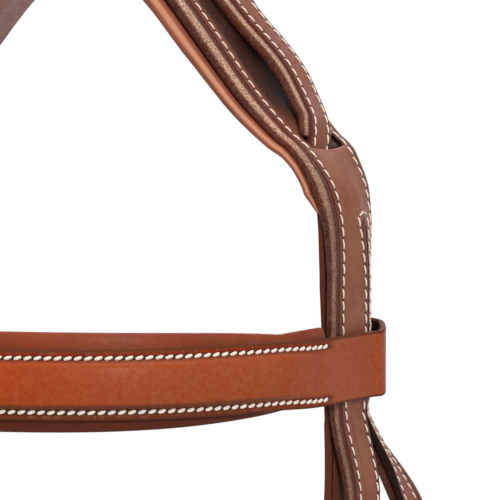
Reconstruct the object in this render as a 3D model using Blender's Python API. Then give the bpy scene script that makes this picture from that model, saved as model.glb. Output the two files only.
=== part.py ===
"""A horse bridle in metres: +Z up, front towards -Y, the horse's left side towards +X.

The origin is the poll rest, the middle of the underside of the poll pad.
"""

import math

import bmesh
import bpy
import numpy as np

# Fit and leather
GAP = 0.0003
STRAP_THICKNESS = 0.0020
OVERRUN = 0.0060

# Overall form of the bridle
HALF_WIDTH = 0.1000
BROWBAND_DROP = 0.1290
CROWN_WIDTH = 0.0460
CROWN_STACK = 0.0115
CHEEK_LENGTH = 0.2600
NOSEBAND_DROP = 0.3350

# Headpiece
CHEEK_WIDTH = 0.0156
THROAT_WIDTH = 0.0130
SPLIT_GAP = 0.0006
THROAT_TURN = math.radians(22)
LINING_THICKNESS = 0.0029
ROLL_RADIUS = 0.0027
PAD_FLAT_LENGTH = 0.0240
HOLE_RADIUS = 0.0012
HOLE_PITCH = 0.0202

# Noseband headstrap
HEADSTRAP_WIDTH = 0.0127
HEADSTRAP_ROLL_RADIUS = 0.0021
HEADSTRAP_BULGE = 0.0022

# Browband
BROWBAND_WIDTH = 0.0218
BROWBAND_LOOP_WIDTH = 0.0190
BROWBAND_LINING_WIDTH = 0.0290
BROWBAND_LINING_THICKNESS = 0.0040
BROWBAND_RAISE = 0.0024
BROWBAND_REACH = 0.1150
LOOP_ROOM = 0.0008
BROWBAND_SAG = 0.0014
BROWBAND_LINING_RISE = 0.0010
BROWBAND_LINING_STEP = 0.0030

# Buckles
BAR_RADIUS = 0.0014
TONGUE_RADIUS = 0.0008
BUCKLE_LENGTH = 0.0170
BUCKLE_SIDE_ROOM = 0.0006
FOLD_LENGTH = 0.0220
POINT_LENGTH = 0.0500
KEEPER_PLACE = 0.0100
KEEPER_WIDTH = 0.0065
KEEPER_THICKNESS = 0.0013
RUNNER_PLACE = 0.0340
TONGUE_SLOT_LENGTH = 0.0108

# Cheekpiece billet
CHEEKPIECE_LENGTH = 0.1900
BILLET_OPENING = 0.0090
BILLET_DEPTH = 0.0150
BILLET_OVERLAP = 0.0380
BILLET_BEND_SHARE = 1.5
STUD_RADIUS = 0.0014
STUD_HEAD_RADIUS = 0.0036
STUD_HEAD_THICKNESS = 0.0012

# Throatlatch
THROAT_STRAP_WIDTH = 0.0127
THROAT_DROP = 0.3350
THROAT_REACH = 0.0960

# Noseband
NOSE_HALF_SHARE = 0.78
NOSE_HALF_WIDTH = NOSE_HALF_SHARE * HALF_WIDTH
NOSE_REACH = 0.1150
NOSEBAND_STRAP_LENGTH = 0.0730
RING_PLACE = -0.0040
NOSE_WIDTH = 0.0240
NOSE_END_WIDTH = 0.0150
NOSE_LINING_WIDTH = 0.0300
NOSE_LINING_THICKNESS = 0.0040
RING_HALF = 0.0125
JAW_WIDTH = 0.0150
JAW_REACH = 0.0610
JAW_PAD_WIDTH = 0.0260
JAW_PAD_THICKNESS = 0.0050
JAW_CORNER = 0.0260
JAW_BUCKLE_PLACE = 0.0020

# Places down the headpiece's outer front edge: across as shares of HALF_WIDTH, down as shares of
# BROWBAND_DROP from the crown, and forwards as shares of CROWN_WIDTH
ARCH_SHARES = (
    (0.180, -0.016, -0.500), (0.240, -0.045, -0.495), (0.300, -0.080, -0.490), (0.360, -0.122, -0.480),
    (0.424, -0.176, -0.470), (0.488, -0.235, -0.460), (0.571, -0.319, -0.447), (0.644, -0.395, -0.434),
    (0.723, -0.472, -0.420), (0.810, -0.542, -0.408), (0.864, -0.576, -0.402), (0.911, -0.616, -0.396),
    (0.953, -0.664, -0.390), (0.978, -0.717, -0.386), (0.993, -0.771, -0.382), (1.000, -0.864, -0.380),
    (1.000, -0.930, -0.380), (1.000, -1.000, -0.380), (1.000, -1.089, -0.380), (1.000, -1.150, -0.380),
    (1.000, -1.213, -0.380),
)
# At the same places: the share of the change from crown width to tail widths, and of the throat's turn
NARROW_SHARES = (
    0.02, 0.05, 0.10, 0.16, 0.23, 0.31, 0.42, 0.53, 0.66, 0.79, 0.86, 0.92, 0.96, 0.99, 1.0, 1.0, 1.0, 1.0,
    1.0, 1.0, 1.0,
)

# The straight straps below the browband: their tops as shares of HALF_WIDTH, HALF_WIDTH and
# BROWBAND_DROP, their directions, and the tails' length as a share of CHEEK_LENGTH
SIDE_SIZE = np.array([HALF_WIDTH, HALF_WIDTH, BROWBAND_DROP])
CHEEK_TOP_SHARES = (1.042, -0.052, -1.31)
CHEEK_RUN_SHARES = (-0.120, -0.132, -0.984)
THROAT_TOP_SHARES = (1.030, 0.250, -1.31)
THROAT_RUN_SHARES = (-0.08, 0.40, -0.91)
THROAT_FACE_SHARES = (1, -0.05, 0)
TAIL_TOP_SHARE = 0.214
LINING_END_SHARE = 0.155
LINING_MIDDLE_SHARE = 0.6
# Stations: where the crown splits, between which its rear half turns back, and where the lining narrows
SPLIT_STATION = 16
TURN_STATIONS = (12.5, 17)
LINING_NARROWS = 12
PAD_NARROWS = 10
PAD_STATIONS = (1, 8, 13, 15)
PAD_RADIUS_SHARES = (1.0, 0.72, 0.5, 0.22)
# The headstrap's way down the headpiece: its height at the stations where it bows over the crown and dives
# through the slot, as shares of its first height and then at its inner layer, and its places behind the
# front edge as shares of CROWN_WIDTH
HEADSTRAP_RISE_STATIONS = (0, 7, 9, 10, 11, 12)
HEADSTRAP_RISE_SHARES = (1.0, 1.0, 1.3, 1.25, 0.92, -0.3)
HEADSTRAP_INSIDE = 13
HEADSTRAP_LINED = 11
HEADSTRAP_SLOT = (10, 17)
HEADSTRAP_STATIONS = (0, 8, 10, 12, 16, 20, 22)
HEADSTRAP_PLACE_SHARES = (0.50, 0.55, 0.51, 0.28, 0.13, 0.195, 0.195)
HEADSTRAP_LEAD_SHARE = 0.14
HEADSTRAP_TIP_SHARE = 0.4
HEADSTRAP_DROP_SHARE = 0.20
NOSEBAND_TOP_SHARES = (0.895, -1.667)
# The throatlatch below its buckles, as shares of HALF_WIDTH, THROAT_REACH and THROAT_DROP
THROAT_SHARES = ((0.82, 0.89, -0.945), (0.60, 0.96, -0.982), (0.30, 0.99, -0.997), (0, 1, -1))
# The nosepiece and the jaw straps' corner, seen from above
NOSE_SHARES = ((1.0, -0.32, -1), (1.0, -0.44, -1), (0.965, -0.60, -1), (0.86, -0.78, -1), (0.64, -0.92, -1),
               (0.34, -0.985, -1), (0, -1, -1))
NOSE_LINING_FROM = 1
NOSE_LINING_TIP_SHARE = 0.62
NOSE_WIDE_SHARE = 0.80
NOSE_NARROW_SHARE = 0.34
JAW_CORNER_SHARES = ((0, 1.0), (0.10, 0.55), (0.42, 0.14), (1.0, 0))
JAW_PAD_REACH_SHARE = 0.55
RING_CORNER_SHARE = 0.25
# The browband's front curve as shares of its outer layer's half width and of BROWBAND_REACH
BROWBAND_SHARES = ((1.0, -0.30), (0.985, -0.40), (0.925, -0.56), (0.80, -0.74), (0.60, -0.88), (0.31, -0.97),
                   (0, -1))
BROWBAND_RAISED_SHARE = 0.56
BROWBAND_RISE_POINTS = 8
BROWBAND_LINING_FROM = 3
# The browband's loop: its inner end's shares along the straps' sides, its rear corner's shares back out,
# and where it crosses from the outer layer to the inner one
LOOP_INNER_SHARES = (0.25, 0.8)
LOOP_OUTER_SHARES = (0.95, 0.6, 0.25, 0.02)
LOOP_CROSSING_SHARE = 0.6
LOOP_TUCK = 0.0050
STUD_CROWN_SHARE = 0.6
STUD_RIVET_SHARE = 0.65

# How many points a strap takes to turn from one direction across to another
TAIL_TURN_POINTS = 4
HEADSTRAP_TURN_POINTS = 5
THROAT_TURN_POINTS = 6

LEATHER = (0.30, 0.115, 0.060, 1.0)
ORANGE = (0.45, 0.130, 0.050, 1.0)
DARK = (0.105, 0.042, 0.025, 1.0)
BRASS = (0.62, 0.60, 0.56, 1.0)


def clear_scene():
    for item in list(bpy.data.objects):
        bpy.data.objects.remove(item)


def finish(name, color, metallic, roughness):
    """A plain material of a piece's own."""
    made = bpy.data.materials.new(name)
    made.use_nodes = True
    shader = made.node_tree.nodes["Principled BSDF"]
    shader.inputs["Base Color"].default_value = color
    shader.inputs["Metallic"].default_value = metallic
    shader.inputs["Roughness"].default_value = roughness
    return made


def add_object(name, points, faces, color=LEATHER, metal=False):
    """One closed object from points and faces, with its faces turned outwards."""
    mesh = bpy.data.meshes.new(name)
    mesh.from_pydata([tuple(p) for p in points], [], faces)
    work = bmesh.new()
    work.from_mesh(mesh)
    bmesh.ops.recalc_face_normals(work, faces=work.faces)
    work.to_mesh(mesh)
    work.free()
    item = bpy.data.objects.new(name, mesh)
    bpy.context.scene.collection.objects.link(item)
    mesh.materials.append(finish(name, color, float(metal), 0.3 if metal else 0.5))
    mesh.shade_smooth()
    mesh.set_sharp_from_angle(angle=math.radians(35))
    return item


def unit(vectors):
    return vectors / np.linalg.norm(vectors, axis=-1, keepdims=True)


def smooth(points, steps):
    """Points on the Catmull-Rom curve through the given ones, with steps to each span."""
    points = np.asarray(points, float)
    ends = [2 * points[:1] - points[1:2], points, 2 * points[-1:] - points[-2:-1]]
    p = np.concatenate(ends)
    t = (np.arange(steps) / steps)[None, :, None]
    a, b, c, d = (p[i:len(p) - 3 + i][:, None] for i in range(4))
    curve = 0.5 * (2 * b + (c - a) * t + (2 * a - 5 * b + 4 * c - d) * t**2 + (3 * b - a - 3 * c + d) * t**3)
    return np.concatenate([curve.reshape(-1, points.shape[1]), points[-1:]])


def tangents(path):
    return unit(np.gradient(path, axis=0))


def section_axes(path, across_hint, outward_hint):
    """The across and outward directions of a strap along its path."""
    along = tangents(path)
    hint = np.broadcast_to(np.asarray(across_hint, float), path.shape)
    across = unit(hint - (hint * along).sum(1, keepdims=True) * along)
    outward = np.cross(across, along)
    turn = np.sign((outward * np.asarray(outward_hint, float)).sum(1, keepdims=True))
    return across, outward * turn


def skin(name, rings, color=LEATHER, closed=False):
    """A closed body from rings of points, whose last ring joins the first one if closed."""
    count, sides = rings.shape[:2]
    spans = count if closed else count - 1
    faces = []
    for i in range(spans):
        for j in range(sides):
            k = (j + 1) % sides
            following = (i + 1) % count
            faces.append((i * sides + j, i * sides + k, following * sides + k, following * sides + j))
    if not closed:
        faces.append(tuple(range(sides)))
        faces.append(tuple(range((count - 1) * sides, count * sides)))
    return add_object(name, rings.reshape(-1, 3), faces, color, metal=color == BRASS)


def loft(name, path, across, outward, profile, color=LEATHER, closed=False):
    """A closed body swept along path; profile holds (across, outward) places for each path point."""
    profile = np.broadcast_to(profile, (len(path),) + np.shape(profile)[-2:])
    rings = path[:, None] + profile[..., :1] * across[:, None] + profile[..., 1:] * outward[:, None]
    return skin(name, rings, color, closed)


def strap_profile(width, low=-STRAP_THICKNESS / 2, high=STRAP_THICKNESS / 2):
    """A flat strap's section, for one width or one for each path point."""
    half = np.atleast_1d(width) / 2
    corners = [(-half, low), (half, low), (half, high), (-half, high)]
    return np.stack([np.stack([v, np.full_like(half, n)], -1) for v, n in corners], 1)


def round_profile(radius, sides):
    turn = 2 * math.pi * np.arange(sides) / sides
    return radius * np.stack([np.cos(turn), np.sin(turn)], -1)


def mirrored(points, side):
    """Points or vectors on the left side (side 1) or on the right (side -1)."""
    return np.asarray(points, float) * (side, 1, 1)


def cut(item, tool):
    """Cuts a hidden tool out of an item."""
    tool.hide_render = True
    tool.display_type = "WIRE"
    boolean = item.modifiers.new(tool.name, "BOOLEAN")
    boolean.operation = "DIFFERENCE"
    boolean.solver = "EXACT"
    boolean.object = tool


def box_tool(name, centre, axes, halves):
    """A block with half sizes along three given axes."""
    signs = np.array([(i, j, k) for i in (-1, 1) for j in (-1, 1) for k in (-1, 1)], float)
    points = np.asarray(centre) + (signs * halves) @ np.asarray(axes)
    faces = [(0, 1, 3, 2), (4, 6, 7, 5), (0, 4, 5, 1), (2, 3, 7, 6), (0, 2, 6, 4), (1, 5, 7, 3)]
    return add_object(name, points, faces)


def rod_tool(name, start, end, radius, sides=8):
    """A round rod between two points."""
    path = np.array([start, end])
    hint = np.roll(np.eye(3), 1, 0)[np.argmax(np.abs(path[1] - path[0]))]
    across, outward = section_axes(path, hint, np.cross(hint, path[1] - path[0]))
    return loft(name, path, across, outward, round_profile(radius, sides))


class Line:
    """A straight stretch of buckled strap: up leads from the bar to the strap with the holes."""

    def __init__(self, origin, up, outward_hint, width):
        self.origin = np.asarray(origin, float)
        self.up = unit(np.asarray(up, float))
        hint = np.asarray(outward_hint, float)
        self.out = unit(hint - hint @ self.up * self.up)
        self.across = np.cross(self.up, self.out)
        self.width = width

    def place(self, along, out, across=0.0):
        along, out, across = np.broadcast_arrays(along, out, across)
        return (self.origin + along[..., None] * self.up + out[..., None] * self.out
                + across[..., None] * self.across)

    def strap(self, name, along_out, color=LEATHER, width=None):
        """A strap of this line's width whose middle follows (along, out) places."""
        path = self.place(*np.asarray(along_out, float).T)
        along = tangents(path)
        across = np.broadcast_to(self.across, path.shape)
        return loft(name, path, across, np.cross(across, along), strap_profile(width or self.width), color)


FOLD_RADIUS = BAR_RADIUS + GAP + STRAP_THICKNESS / 2
UNDER_LAYER = FOLD_RADIUS - STRAP_THICKNESS - GAP
POINT_LAYER = FOLD_RADIUS + STRAP_THICKNESS + GAP


def fold_path():
    """The end of a strap that folds round a bar at the origin, from its inner tip to its outer layer."""
    turn = np.radians(np.linspace(-110, 90, 9))
    arc = FOLD_RADIUS * np.stack([np.cos(turn), np.sin(turn)], -1)
    lead = [(-FOLD_LENGTH, UNDER_LAYER), (-KEEPER_PLACE + KEEPER_WIDTH / 2 + GAP, UNDER_LAYER)]
    return np.concatenate([lead, arc])


def point_path():
    """The end of the strap with the holes: under the far bar, up through the frame and over the other strap."""
    share = np.linspace(1, 0, 8)
    rise = POINT_LAYER - (POINT_LAYER + FOLD_RADIUS) * (0.5 - 0.5 * np.cos(math.pi * share))
    through = np.stack([share * BUCKLE_LENGTH, rise], -1)
    tip = np.array([(-POINT_LENGTH, POINT_LAYER)])
    return np.concatenate([through, tip])


def add_buckle_frame(prefix, line):
    """A rectangular wire frame with rounded corners, whose near bar lies on the line's origin."""
    half = line.width / 2 + BUCKLE_SIDE_ROOM + BAR_RADIUS
    corner = BAR_RADIUS
    places = []
    for along, across, start in ((0, -half, 270), (0, half, 180), (BUCKLE_LENGTH, half, 90),
                                 (BUCKLE_LENGTH, -half, 0)):
        middle = np.array([along - corner * (1 if along else -1), across - corner * np.sign(across)])
        for step in (0, -45, -90):
            turn = math.radians(start + step)
            places.append(middle + corner * np.array([math.cos(turn), math.sin(turn)]))
    places = np.array(places)
    path = line.place(places[:, 0], np.zeros(len(places)), places[:, 1])
    along = unit(np.roll(path, -1, 0) - np.roll(path, 1, 0))
    out = np.broadcast_to(line.out, path.shape)
    profile = round_profile(BAR_RADIUS, 8)
    return loft(prefix + "_buckle_frame", path, np.cross(out, along), out, profile, BRASS, closed=True)


def add_tongue(prefix, line):
    """A wire tongue curled round the near bar, its tip on the far bar."""
    reach = BAR_RADIUS + GAP + TONGUE_RADIUS
    turn = np.radians(np.linspace(90, 330, 9))
    curl = reach * np.stack([np.cos(turn), np.sin(turn)], -1)
    tip = np.array([(BUCKLE_LENGTH + BAR_RADIUS, reach), (BUCKLE_LENGTH / 2, reach)])
    places = np.concatenate([tip, curl])
    path = line.place(places[:, 0], places[:, 1])
    across = np.broadcast_to(line.across, path.shape)
    outward = np.cross(across, tangents(path))
    return loft(prefix + "_buckle_tongue", path, across, outward, round_profile(TONGUE_RADIUS, 6), BRASS)


def add_band(name, line, place, width, low, high, half, color=LEATHER):
    """A leather loop round a strap stack that spans low to high outwards and half to each side."""
    grow = KEEPER_THICKNESS / 2 + GAP
    corners = [(-half - grow, low - grow), (half + grow, low - grow), (half + grow, high + grow),
               (-half - grow, high + grow)]
    path = line.place(np.full(4, place), np.array([c[1] for c in corners]), np.array([c[0] for c in corners]))
    inward = [(1, 1), (-1, 1), (-1, -1), (1, -1)]
    spread = np.array([i * line.across + o * line.out for i, o in inward])
    along = np.broadcast_to(line.up, path.shape)
    return loft(name, path, along, spread, strap_profile(width, -KEEPER_THICKNESS / 2, KEEPER_THICKNESS / 2),
                color, closed=True)


def add_buckle(prefix, line):
    """The frame, tongue, fixed keeper and sliding runner of one buckle."""
    add_buckle_frame(prefix, line)
    add_tongue(prefix, line)
    half = line.width / 2
    top = POINT_LAYER + STRAP_THICKNESS / 2
    add_band(prefix + "_keeper", line, -KEEPER_PLACE, KEEPER_WIDTH, UNDER_LAYER - STRAP_THICKNESS / 2, top, half)
    add_band(prefix + "_runner", line, -RUNNER_PLACE, KEEPER_WIDTH, FOLD_RADIUS - STRAP_THICKNESS / 2, top, half)


def cut_fold_slot(item, prefix, line):
    """The slot that lets the tongue reach the bar through a folded strap end."""
    reach = FOLD_RADIUS + STRAP_THICKNESS
    half = TONGUE_RADIUS + 2 * GAP
    tool = box_tool(prefix + "_fold_slot", line.place(0, 0), (line.up, line.across, line.out),
                    (reach, half, reach))
    cut(item, tool)


def cut_tongue_hole(item, prefix, line):
    """The slot in the strap with the holes that the tongue comes through."""
    half = TONGUE_RADIUS + 2 * GAP
    middle = GAP + TONGUE_SLOT_LENGTH / 2
    tool = box_tool(prefix + "_tongue_hole", line.place(middle, 0), (line.up, line.across, line.out),
                    (TONGUE_SLOT_LENGTH / 2, half, POINT_LAYER + OVERRUN))
    cut(item, tool)


def cheek_line():
    """From below the browband straight to the bit."""
    down = unit(np.array(CHEEK_RUN_SHARES))
    origin = np.array(CHEEK_TOP_SHARES) * SIDE_SIZE + down * (TAIL_TOP_SHARE * CHEEK_LENGTH)
    return Line(origin, -down, (1, 0, 0), CHEEK_WIDTH)


def throat_line():
    """From below the browband straight down and back."""
    down = unit(np.array(THROAT_RUN_SHARES))
    origin = np.array(THROAT_TOP_SHARES) * SIDE_SIZE + down * (TAIL_TOP_SHARE * CHEEK_LENGTH)
    return Line(origin, -down, THROAT_FACE_SHARES, THROAT_STRAP_WIDTH)


def side_line(line, side):
    """The same line on the given side."""
    made = Line(mirrored(line.origin, side), mirrored(line.up, side), mirrored(line.out, side), line.width)
    made.across = mirrored(line.across, side)
    return made


def crown_flat():
    """The two places, in the middle and at the end of the crown's flat, that come before ARCH_SHARES."""
    front = -CROWN_WIDTH / 2
    return [(0, front, CROWN_STACK), (PAD_FLAT_LENGTH / 2, front, CROWN_STACK)]


class Arch:
    """The headpiece's outer face from the middle of the crown down the left side."""

    def __init__(self):
        size = np.array([HALF_WIDTH, CROWN_WIDTH, BROWBAND_DROP])
        places = np.array([(x, y, z) for x, z, y in ARCH_SHARES]) * size + (0, 0, CROWN_STACK)
        self.flats = len(crown_flat())
        self.edge = np.concatenate([crown_flat(), places])
        along = tangents(self.edge)
        along[:self.flats] = (1, 0, 0)
        self.across = unit(np.array([0, 1, 0]) - along[:, 1:2] * along)
        self.outward = np.cross(along, self.across)
        self.outward *= np.sign(self.outward[:, 2:] + self.outward[:, :1])
        narrow = np.concatenate([np.zeros(self.flats), NARROW_SHARES])
        self.cheek = CROWN_WIDTH / 2 + narrow * (CHEEK_WIDTH - CROWN_WIDTH / 2)
        self.throat = CROWN_WIDTH / 2 - SPLIT_GAP + narrow * (THROAT_WIDTH - CROWN_WIDTH / 2 + SPLIT_GAP)
        turn = (np.interp(np.arange(len(narrow)), TURN_STATIONS, (0, 1)) * THROAT_TURN)[:, None]
        self.rear_across = np.cos(turn) * self.across - np.sin(turn) * self.outward
        self.rear_outward = np.cos(turn) * self.outward + np.sin(turn) * self.across
        self.split = SPLIT_STATION

    def place(self, across, out):
        """Points at a distance behind the front edge and out from the face, for each station."""
        across = np.broadcast_to(across, len(self.edge))[:, None]
        out = np.broadcast_to(out, len(self.edge))[:, None]
        return self.edge + across * self.across + out * self.outward


def both_sides(points):
    """A left side that starts in the middle, with its mirror image before it."""
    return np.concatenate([mirrored(points[:0:-1], -1), points])


def slab(name, middle, outward, quads, color=LEATHER):
    """A leather sheet of one thickness: middle points, their outward directions and its faces."""
    half = STRAP_THICKNESS / 2
    count = len(middle)
    points = np.concatenate([middle + half * outward, middle - half * outward])
    edges = {}
    for quad in quads:
        for a, b in zip(quad, quad[1:] + quad[:1]):
            edges.setdefault(frozenset((a, b)), []).append((a, b))
    walls = [(b, a, a + count, b + count) for (a, b), *more in edges.values() if not more]
    inner = [tuple(i + count for i in quad[::-1]) for quad in quads]
    return add_object(name, points, list(quads) + inner + walls, color)


def tail_path(line, start, top):
    """The middle of a tail from the arch's last station through its buckle to its tip."""
    lead = [line.place(top, -FOLD_RADIUS), line.place((top + BUCKLE_LENGTH) / 2, -FOLD_RADIUS),
            line.place(BUCKLE_LENGTH + BAR_RADIUS, -FOLD_RADIUS)]
    curve = smooth(np.concatenate([start, lead]), 3)[3:]
    return np.concatenate([curve, line.place(*point_path().T)])


def tail_rows(line, path, across_start, outward_start):
    """The across and outward directions along a tail, turning from the arch's to its line's."""
    share = np.clip(np.arange(len(path)) / TAIL_TURN_POINTS, 0, 1)[:, None]
    across = unit((1 - share) * across_start + share * line.across)
    along = tangents(path)
    across = unit(across - (across * along).sum(1, keepdims=True) * along)
    outward = np.cross(across, along)
    return across, outward * np.sign((outward[:1] * outward_start).sum())


def strip(first_a, first_b, count):
    """The faces between two rows of points."""
    return [(first_a + i, first_a + i + 1, first_b + i + 1, first_b + i) for i in range(count - 1)]


def add_headpiece(arch):
    """The crown leather, split on each side into a cheek tail and a throat tail, with slots and holes."""
    half = STRAP_THICKNESS / 2
    front = arch.place(0, -half)
    seam = arch.place(arch.cheek, -half)
    behind = arch.place(arch.cheek + SPLIT_GAP, 0) - half * arch.rear_outward
    rear = behind + arch.throat[:, None] * arch.rear_across
    rows = {}
    lines = {"cheek": cheek_line(), "throat": throat_line()}
    for key, low, high, across, outward in (("cheek", front, seam, arch.across, arch.outward),
                                            ("throat", behind, rear, arch.rear_across, arch.rear_outward)):
        line = lines[key]
        middle = (low + high) / 2
        path = tail_path(line, middle[-2:], TAIL_TOP_SHARE * CHEEK_LENGTH)
        path = path[1:]
        turned, facing = tail_rows(line, path, across[-1], outward[-1])
        reach = line.width / 2 * turned
        rows[key] = (both_sides(np.concatenate([low, path - reach])),
                     both_sides(np.concatenate([high, path + reach])),
                     both_sides(np.concatenate([outward, facing])))
    cheek_low, cheek_high, cheek_out = rows["cheek"]
    throat_low, throat_high, throat_out = rows["throat"]
    count = len(cheek_low)
    length = len(throat_low)
    middle = np.concatenate([cheek_low, cheek_high, throat_low, throat_high])
    outward = np.concatenate([cheek_out, cheek_out, throat_out, throat_out])
    quads = strip(0, count, count) + strip(2 * count, 2 * count + length, length)
    joined = 2 * arch.split - 1
    first_cheek = count + (count - joined) // 2
    first_throat = 2 * count + (length - joined) // 2
    quads += strip(first_cheek, first_throat, joined)
    return slab("headpiece_strap", middle, outward, quads)


class Layer:
    """A padded layer under the headpiece: a roll ahead of its front edge, then flat to its rear end.

    front, middle and rear are points on the headpiece's outer face, each with its outward direction.
    """

    def __init__(self, front, across, outward, middle, middle_out, rear, rear_out):
        self.front, self.across, self.outward = front, across, outward
        self.middle, self.middle_out, self.rear, self.rear_out = middle, middle_out, rear, rear_out

    def rings(self, top, thickness, radius, ahead):
        """top is how far the layer lies in from the face, radius and ahead are its roll's."""
        low = top + thickness
        turn = np.radians((0, 45, 90, 135, 180, 225, 270))
        radius, ahead, low = (np.broadcast_to(x, len(self.front))[:, None, None] for x in (radius, ahead, low))
        cos, sin = np.cos(turn)[None, :, None], np.sin(turn)[None, :, None]
        roll = (self.front[:, None] + (radius * cos - ahead) * self.across[:, None]
                + (radius * (1 + sin) - low) * self.outward[:, None])
        low, top = low[:, 0], np.broadcast_to(top, len(self.front))[:, None]
        flat = [self.middle - low * self.middle_out, self.rear - low * self.rear_out,
                self.rear - top * self.rear_out, self.middle - top * self.middle_out,
                self.front + GAP * self.across - top * self.outward]
        return np.concatenate([roll, np.stack(flat, 1)], 1)


def both_rings(rings):
    return np.concatenate([mirrored(rings[:0:-1], -1), rings])


def blend(first, second, share):
    return first + np.reshape(share, (-1, 1)) * (second - first)


def add_headpiece_lining(arch):
    """The padded lining under the crown and the cheek tails."""
    share = np.clip((np.arange(len(arch.edge)) - LINING_NARROWS) / (arch.split - LINING_NARROWS), 0, 1)
    seam = arch.place(arch.cheek, 0)
    rear = seam + (SPLIT_GAP + arch.throat)[:, None] * arch.rear_across
    inner = arch.place(arch.cheek * LINING_MIDDLE_SHARE, 0)
    seam_out = unit(arch.outward + arch.rear_outward)
    crown = Layer(arch.edge, arch.across, arch.outward, blend(seam, inner, share),
                  unit(blend(seam_out, arch.outward, share)), blend(rear, seam, share),
                  unit(blend(arch.rear_outward, arch.outward, share)))
    line = cheek_line()
    face = -BAR_RADIUS - GAP
    ends = [line.place(top * CHEEK_LENGTH, face) for top in (TAIL_TOP_SHARE, LINING_END_SHARE)]
    path = smooth(np.concatenate([arch.place(arch.cheek / 2, 0)[-2:], ends]), 3)[4:]
    across, outward = tail_rows(line, path, arch.across[-1], arch.outward[-1])
    half = line.width / 2 * across
    tail = Layer(path - half, across, outward, path, outward, path + half, outward)
    rings = [part.rings(STRAP_THICKNESS + GAP, LINING_THICKNESS, ROLL_RADIUS, ROLL_RADIUS + GAP)
             for part in (crown, tail)]
    return skin("headpiece_lining", both_rings(np.concatenate(rings)), DARK)


def add_poll_pad(arch):
    """The soft pad on the poll, flat in the middle, that runs out in a point on each side."""
    count = PAD_STATIONS[-1] + 1
    top = STRAP_THICKNESS + GAP + LINING_THICKNESS + 3 * GAP
    thickness = CROWN_STACK - top
    full = thickness / 2
    station = np.arange(count)
    radius = full * np.interp(station, PAD_STATIONS, PAD_RADIUS_SHARES)
    keep = 1 - np.clip((station - PAD_NARROWS) / 2, 0, 1)
    seam = arch.place(arch.cheek, 0)[:count]
    rear = seam + arch.throat[:count, None] * arch.rear_across[:count]
    front = arch.place(0, 0)[:count]
    near = front - GAP * arch.across[:count]
    seam_out = unit(arch.outward + arch.rear_outward)[:count]
    out = arch.outward[:count]
    pad = Layer(front - 2 * GAP * arch.across[:count], arch.across[:count], out,
                blend(near, seam, keep), unit(blend(out, seam_out, keep)),
                blend(front, rear, keep), unit(blend(out, arch.rear_outward[:count], keep)))
    rings = pad.rings(top, 2 * radius, radius, radius + ROLL_RADIUS)
    return skin("poll_pad", both_rings(rings), ORANGE)


def add_throat_linings(arch):
    """The padded linings of the throat tails."""
    line = throat_line()
    face = -BAR_RADIUS - GAP
    start = arch.split + 1
    seam = arch.place(arch.cheek + SPLIT_GAP, 0)
    lean = (STRAP_THICKNESS + GAP + LINING_THICKNESS) * math.sin(THROAT_TURN) + 2 * GAP
    middle = seam + (arch.throat[:, None] + lean) / 2 * arch.rear_across
    ends = [line.place(top * CHEEK_LENGTH, face) for top in (TAIL_TOP_SHARE, LINING_END_SHARE)]
    path = smooth(np.concatenate([middle[-2:], ends]), 3)[4:]
    across, outward = tail_rows(line, path, arch.rear_across[-1], arch.rear_outward[-1])
    middle = np.concatenate([middle[start:], path])
    across = np.concatenate([arch.rear_across[start:], across])
    outward = np.concatenate([arch.rear_outward[start:], outward])
    low = STRAP_THICKNESS + GAP
    profile = strap_profile(THROAT_WIDTH - lean, -low - LINING_THICKNESS, -low)
    for side, suffix in ((1, "left"), (-1, "right")):
        loft("throat_lining_" + suffix, mirrored(middle, side), mirrored(across, side),
             mirrored(outward, side), profile, DARK)


INNER_LAYER = STRAP_THICKNESS + GAP + LINING_THICKNESS + GAP + STRAP_THICKNESS / 2


def noseband_line():
    """The noseband's straight side straps, from its buckle's bar to the ring's upper bar."""
    ring = np.array([NOSE_HALF_WIDTH, RING_PLACE, RING_HALF - NOSEBAND_DROP])
    across, down = NOSEBAND_TOP_SHARES
    top = np.array([across * HALF_WIDTH, RING_PLACE, down * BROWBAND_DROP])
    up = unit(top - ring)
    return Line(ring + up * NOSEBAND_STRAP_LENGTH, up, (1, 0, 0), HEADSTRAP_WIDTH)


def headstrap_places(arch):
    """The headstrap's middle and across and outward directions, from the crown down to the browband."""
    high = GAP + HEADSTRAP_BULGE + GAP + STRAP_THICKNESS / 2
    out = np.interp(np.arange(len(arch.edge)), (*HEADSTRAP_RISE_STATIONS, HEADSTRAP_INSIDE),
                    (*(share * high for share in HEADSTRAP_RISE_SHARES), -INNER_LAYER))
    width = np.interp(np.arange(len(arch.edge)), HEADSTRAP_STATIONS, HEADSTRAP_PLACE_SHARES) * CROWN_WIDTH
    return arch.place(width, out)


def headstrap_axes(path):
    along = tangents(path)
    across = unit(np.array([0, 1, 0]) - along[:, 1:2] * along)
    outward = np.cross(along, across)
    return across, outward


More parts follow.
